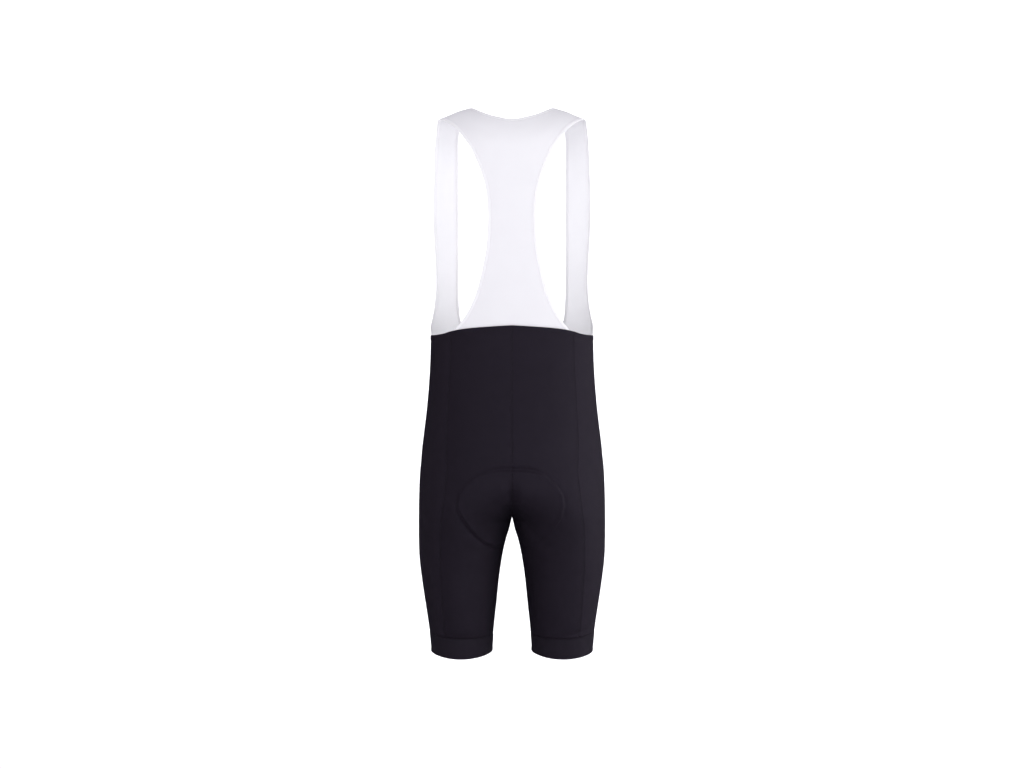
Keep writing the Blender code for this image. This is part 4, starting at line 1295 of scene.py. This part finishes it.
def foldSection():  # outline of the folded elastic, once round
    top, bottom = binding["slack"], -cloth["bib"] - binding["slack"]
    high, low = top + binding["leaf"], bottom - binding["leaf"]
    middle, wide, core = (top + bottom) / 2, binding["width"], binding["core"]
    turn = np.radians([90, 125, 155, 180, 205, 235, 270])
    rounded = binding["fold"] * (binding["foldIn"] + np.cos(turn))
    outside = np.stack([rounded, middle + (high - middle) * np.sin(turn)], -1)
    inside = np.array([(wide, bottom), (core, bottom), (core, top), (wide, top)])
    thin, (far, near) = binding["leaf"] * binding["tip"], binding["tipFrom"]
    tip = np.array([(wide - far, 0), (wide - near, thin / 3), (wide, thin)])
    return np.concatenate([outside, tip + (0, low), inside, (tip * (1, -1) + (0, high))[::-1]])


def readAt(line, run, places):  # a line's values at distances along it
    return np.stack([np.interp(places, run, line[:, k]) for k in range(3)], -1)


def evenly(lines, step):  # several lines resampled together at even distances along the first
    run = lengthsAlong(lines[0])
    places = np.linspace(0, run[-1], int(run[-1] / step) + 1)
    return [readAt(line, run, places) for line in lines]


def makeBinding(name, edge, inside, out):
    edge, inside, out = evenly([edge, inside, out], binding["step"])
    along = unit(differences(edge))
    out = unit(out - (out * along).sum(-1, keepdims=True) * along)
    inward = np.cross(out, along)
    inward *= np.sign((inward * (inside - edge)).sum(-1, keepdims=True))
    section = foldSection()
    rings = edge[:, None] + inward[:, None] * section[:, :1] + out[:, None] * section[:, 1:]
    rows, count = rings.shape[:2]
    quads, corners = gridFaces(rows, count, closed=True)
    ends = np.array([range(count), range(rows * count - 1, (rows - 1) * count - 1, -1)])
    if inward[0] @ np.cross(out[0], along[0]) > 0:  # faces point outwards on either edge
        quads, corners, ends = quads[:, ::-1], corners[::-1], ends[:, ::-1]
    run, girth = lengthsAlong(edge), lengthsAlong(np.concatenate([section, section[:1]]))
    maps = np.stack([np.stack([run[a], girth[b]], -1) for a, b in corners], -2).reshape(-1, 2)
    maps = np.concatenate([maps, np.zeros((2 * count, 2))])
    piece = meshFrom(f"{name}_elastic", rings, quads.tolist() + ends.tolist(), whiteElastic, maps)
    dress(piece, "white_elastic", name)
    line = edge + inward * binding["stitchAt"] + out * (binding["slack"] + binding["leaf"])
    return {"piece": piece, "line": line, "out": out}


def makeBindings():
    back, right, left = (bibPieces[name] for name in ("bib_back", "strap_right", "strap_left"))
    count = bib["neckColumns"] + bib["turnColumns"] - 2
    centre = (back["outer"].shape[1] - 1) // 2
    neck = slice(centre - count, centre + count + 1)

    def along(key, inset):  # the edges as lines, or the lines a little inside them
        return {
            "armhole_binding_right": [back[key][::-1, -1 - inset], right[key][:, inset]],
            "armhole_binding_left": [back[key][::-1, inset], left[key][:, -1 - inset]],
            "neck_binding": [
                left[key][::-1, inset],
                back[key][inset, neck],
                right[key][:, -1 - inset],
            ],
        }

    edges, insides, outs = along("outer", 0), along("outer", 2), along("out", 0)
    return {
        name: makeBinding(name, *(np.concatenate(lines[name]) for lines in (edges, insides, outs)))
        for name in edges
    }


bindings = makeBindings()
print("bindings ready")


# Sewing: flat seams are backed by a band of looper thread and held by rows of small stitches

sewing = {
    "pitch": 0.0026,
    "length": 0.0022,
    "radius": 0.00019,
    "backThick": 0.00025,
    "backGap": 0.00003,
    "bandGap": 0.0001,
    "bandReach": 0.0022,  # how far the leg band's seam is backed above it
    "aside": 3,  # column that stands stitchAside from the seam
    "waistRows": (0.0060, 0.0076),
    "hemRows": (0.0036, 0.0044),
    "zigzagLean": 38.0,
}


def stitchShape():  # one plump stitch along X, as its points and faces in a fixed order
    bpy.ops.object.select_all(action="DESELECT")
    bpy.ops.mesh.primitive_uv_sphere_add(segments=6, ring_count=5, rotation=(0, math.pi / 2, 0))
    bpy.ops.object.transform_apply(location=True, rotation=True, scale=True)
    shape = bpy.context.object
    size = (sewing["length"] / 2, sewing["radius"], sewing["radius"])
    points = np.array([v.co for v in shape.data.vertices]) * size
    faces = sorted(list(face.vertices) for face in shape.data.polygons)
    bpy.data.objects.remove(shape)
    return points, faces


stitchPoints, stitchFaces = stitchShape()


def sew(name, rows, thread, slot, lean=0.0):  # a stitch at each step of every row
    centres, alongs, outs = [], [], []
    for line, out in rows:
        run = lengthsAlong(line)
        places = np.arange(sewing["pitch"] / 2, run[-1], sewing["pitch"])
        way, normal = (unit(readAt(v, run, places)) for v in (differences(line), out))
        swing = np.radians(lean) * np.where(np.arange(len(places)) % 2, 1, -1)[:, None]
        centres.append(readAt(line, run, places))
        alongs.append(way * np.cos(swing) + np.cross(normal, way) * np.sin(swing))
        outs.append(normal)
    centre, along, out = (np.concatenate(parts) for parts in (centres, alongs, outs))
    turned = np.stack([along, unit(np.cross(out, along)), out], 1)
    points = centre[:, None] + stitchPoints @ turned
    count = len(stitchPoints)
    faces = [[v + k * count for v in face] for k in range(len(centre)) for face in stitchFaces]
    return dress(meshFrom(name, points, faces, thread), slot)


def seamLines(before, after, rows):  # rows of stitches on both sides of a seam
    k = sewing["aside"]
    return [
        (before["outer"][rows, -1 - k], before["out"][rows, -1 - k]),
        (after["outer"][rows, k], after["out"][rows, k]),
    ]


def backSeam(name, before, after, rows):  # thread band inside a seam
    k = sewing["aside"]
    parts = []
    for key in ("inner", "out"):
        first, last = before[key][rows], after[key][rows]
        middle = (first[:, -1] + last[:, 0]) / 2
        parts.append(np.stack([first[:, -1 - k], first[:, -2], middle, last[:, 1], last[:, k]], 1))
    face, out = parts[0], unit(parts[1])
    outer = face - out * sewing["backGap"]
    inner = outer - out * sewing["backThick"]
    dress(makeWall(name, outer, inner, flatMap(outer), blackThread), "black_knit")


def crossLine(piece, distance, fromTop=True):  # a line across a piece, this far from its edge
    grid, out = piece["outer"], piece["out"]
    if not fromTop:
        grid, out = grid[::-1], out[::-1]
    run = lengthsAlong(grid)
    row = np.array([np.interp(distance, run[:, c], np.arange(len(grid))) for c in range(grid.shape[1])])
    low = np.minimum(row.astype(int), len(grid) - 2)
    share = (row - low)[:, None]
    columns = np.arange(grid.shape[1])
    return mix(grid[low, columns], grid[low + 1, columns], share), out[low, columns]


def sewShorts():
    crotchRow = int(np.argmin(np.abs(half["seamHeights"] - crotch)))
    above, below = slice(0, crotchRow + 1), slice(crotchRow, None)
    for side, name in sides:
        back, panel, front = (shortsPieces[kind, side] for kind in ("back", "side", "front"))
        order = [back, panel, front, back] if side > 0 else [front, panel, back, front]
        seamNames = ("rear", "fore", "inside") if side > 0 else ("fore", "rear", "inside")
        rows = []
        for seam, first, last in zip(seamNames, order, order[1:]):
            span = below if seam == "inside" else slice(None)
            rows += seamLines(first, last, span)
            backSeam(f"seam_{seam}_{name}", first, last, span)
        sew(f"seam_stitches_{name}", rows, blackThread, "black_knit")
        edges = [crossLine(q, d) for q in (back, panel, front) for d in sewing["waistRows"]]
        edges += [crossLine(q, seams["stitchAside"], False) for q in (back, panel, front)]
        leg = bandPieces[side]
        rings = [crossLine(leg, seams["stitchAside"])]
        rings += [crossLine(leg, d, False) for d in sewing["hemRows"]]
        edges += [[np.concatenate([v, v[:1]]) for v in ring] for ring in rings]
        sew(f"edge_stitches_{name}", edges, blackThread, "black_knit")
    centre = []
    for seam, first, last in (("back", -1, 1), ("front", 1, -1)):
        first, last = shortsPieces[seam, first], shortsPieces[seam, last]
        backSeam(f"seam_centre_{seam}", first, last, above)
        centre += seamLines(first, last, above)
    sew("seam_stitches_centre", centre, blackThread, "black_knit")


def sewBands():  # the thread band behind each leg band's seam
    for side, name in sides:
        outer, inner, out = (bandPieces[side][key] for key in ("outer", "inner", "out"))
        top = outer[0] - out[0] * (cloth["band"] + sewing["bandGap"])
        reach = unit(outer[0] - outer[2]) * sewing["bandReach"]
        face = np.stack([top + reach, top, inner[2] - out[2] * sewing["bandGap"]])
        back = face - out[:3] * sewing["backThick"]
        flat = flatMap(face, closed=True)
        wall = makeWall(f"seam_band_{name}", face, back, flat, blackThread, closed=True)
        dress(wall, "black_elastic")


def sewBib():
    back = bibPieces["bib_back"]
    rows = []
    for name, columns in (("right", slice(-bib["seamColumns"], None)), ("left", slice(bib["seamColumns"]))):
        strap = bibPieces[f"strap_{name}"]
        rows.append((back["outer"][1, columns], back["out"][1, columns]))
        rows.append((strap["outer"][1], strap["out"][1]))
    sew("shoulder_stitches", rows, whiteThread, "white_mesh")
    rows = [(made["line"], made["out"]) for made in bindings.values()]
    sew("binding_stitches", rows, whiteThread, "white_elastic", sewing["zigzagLean"])


sewShorts()
sewBands()
sewBib()
print("sewing ready")
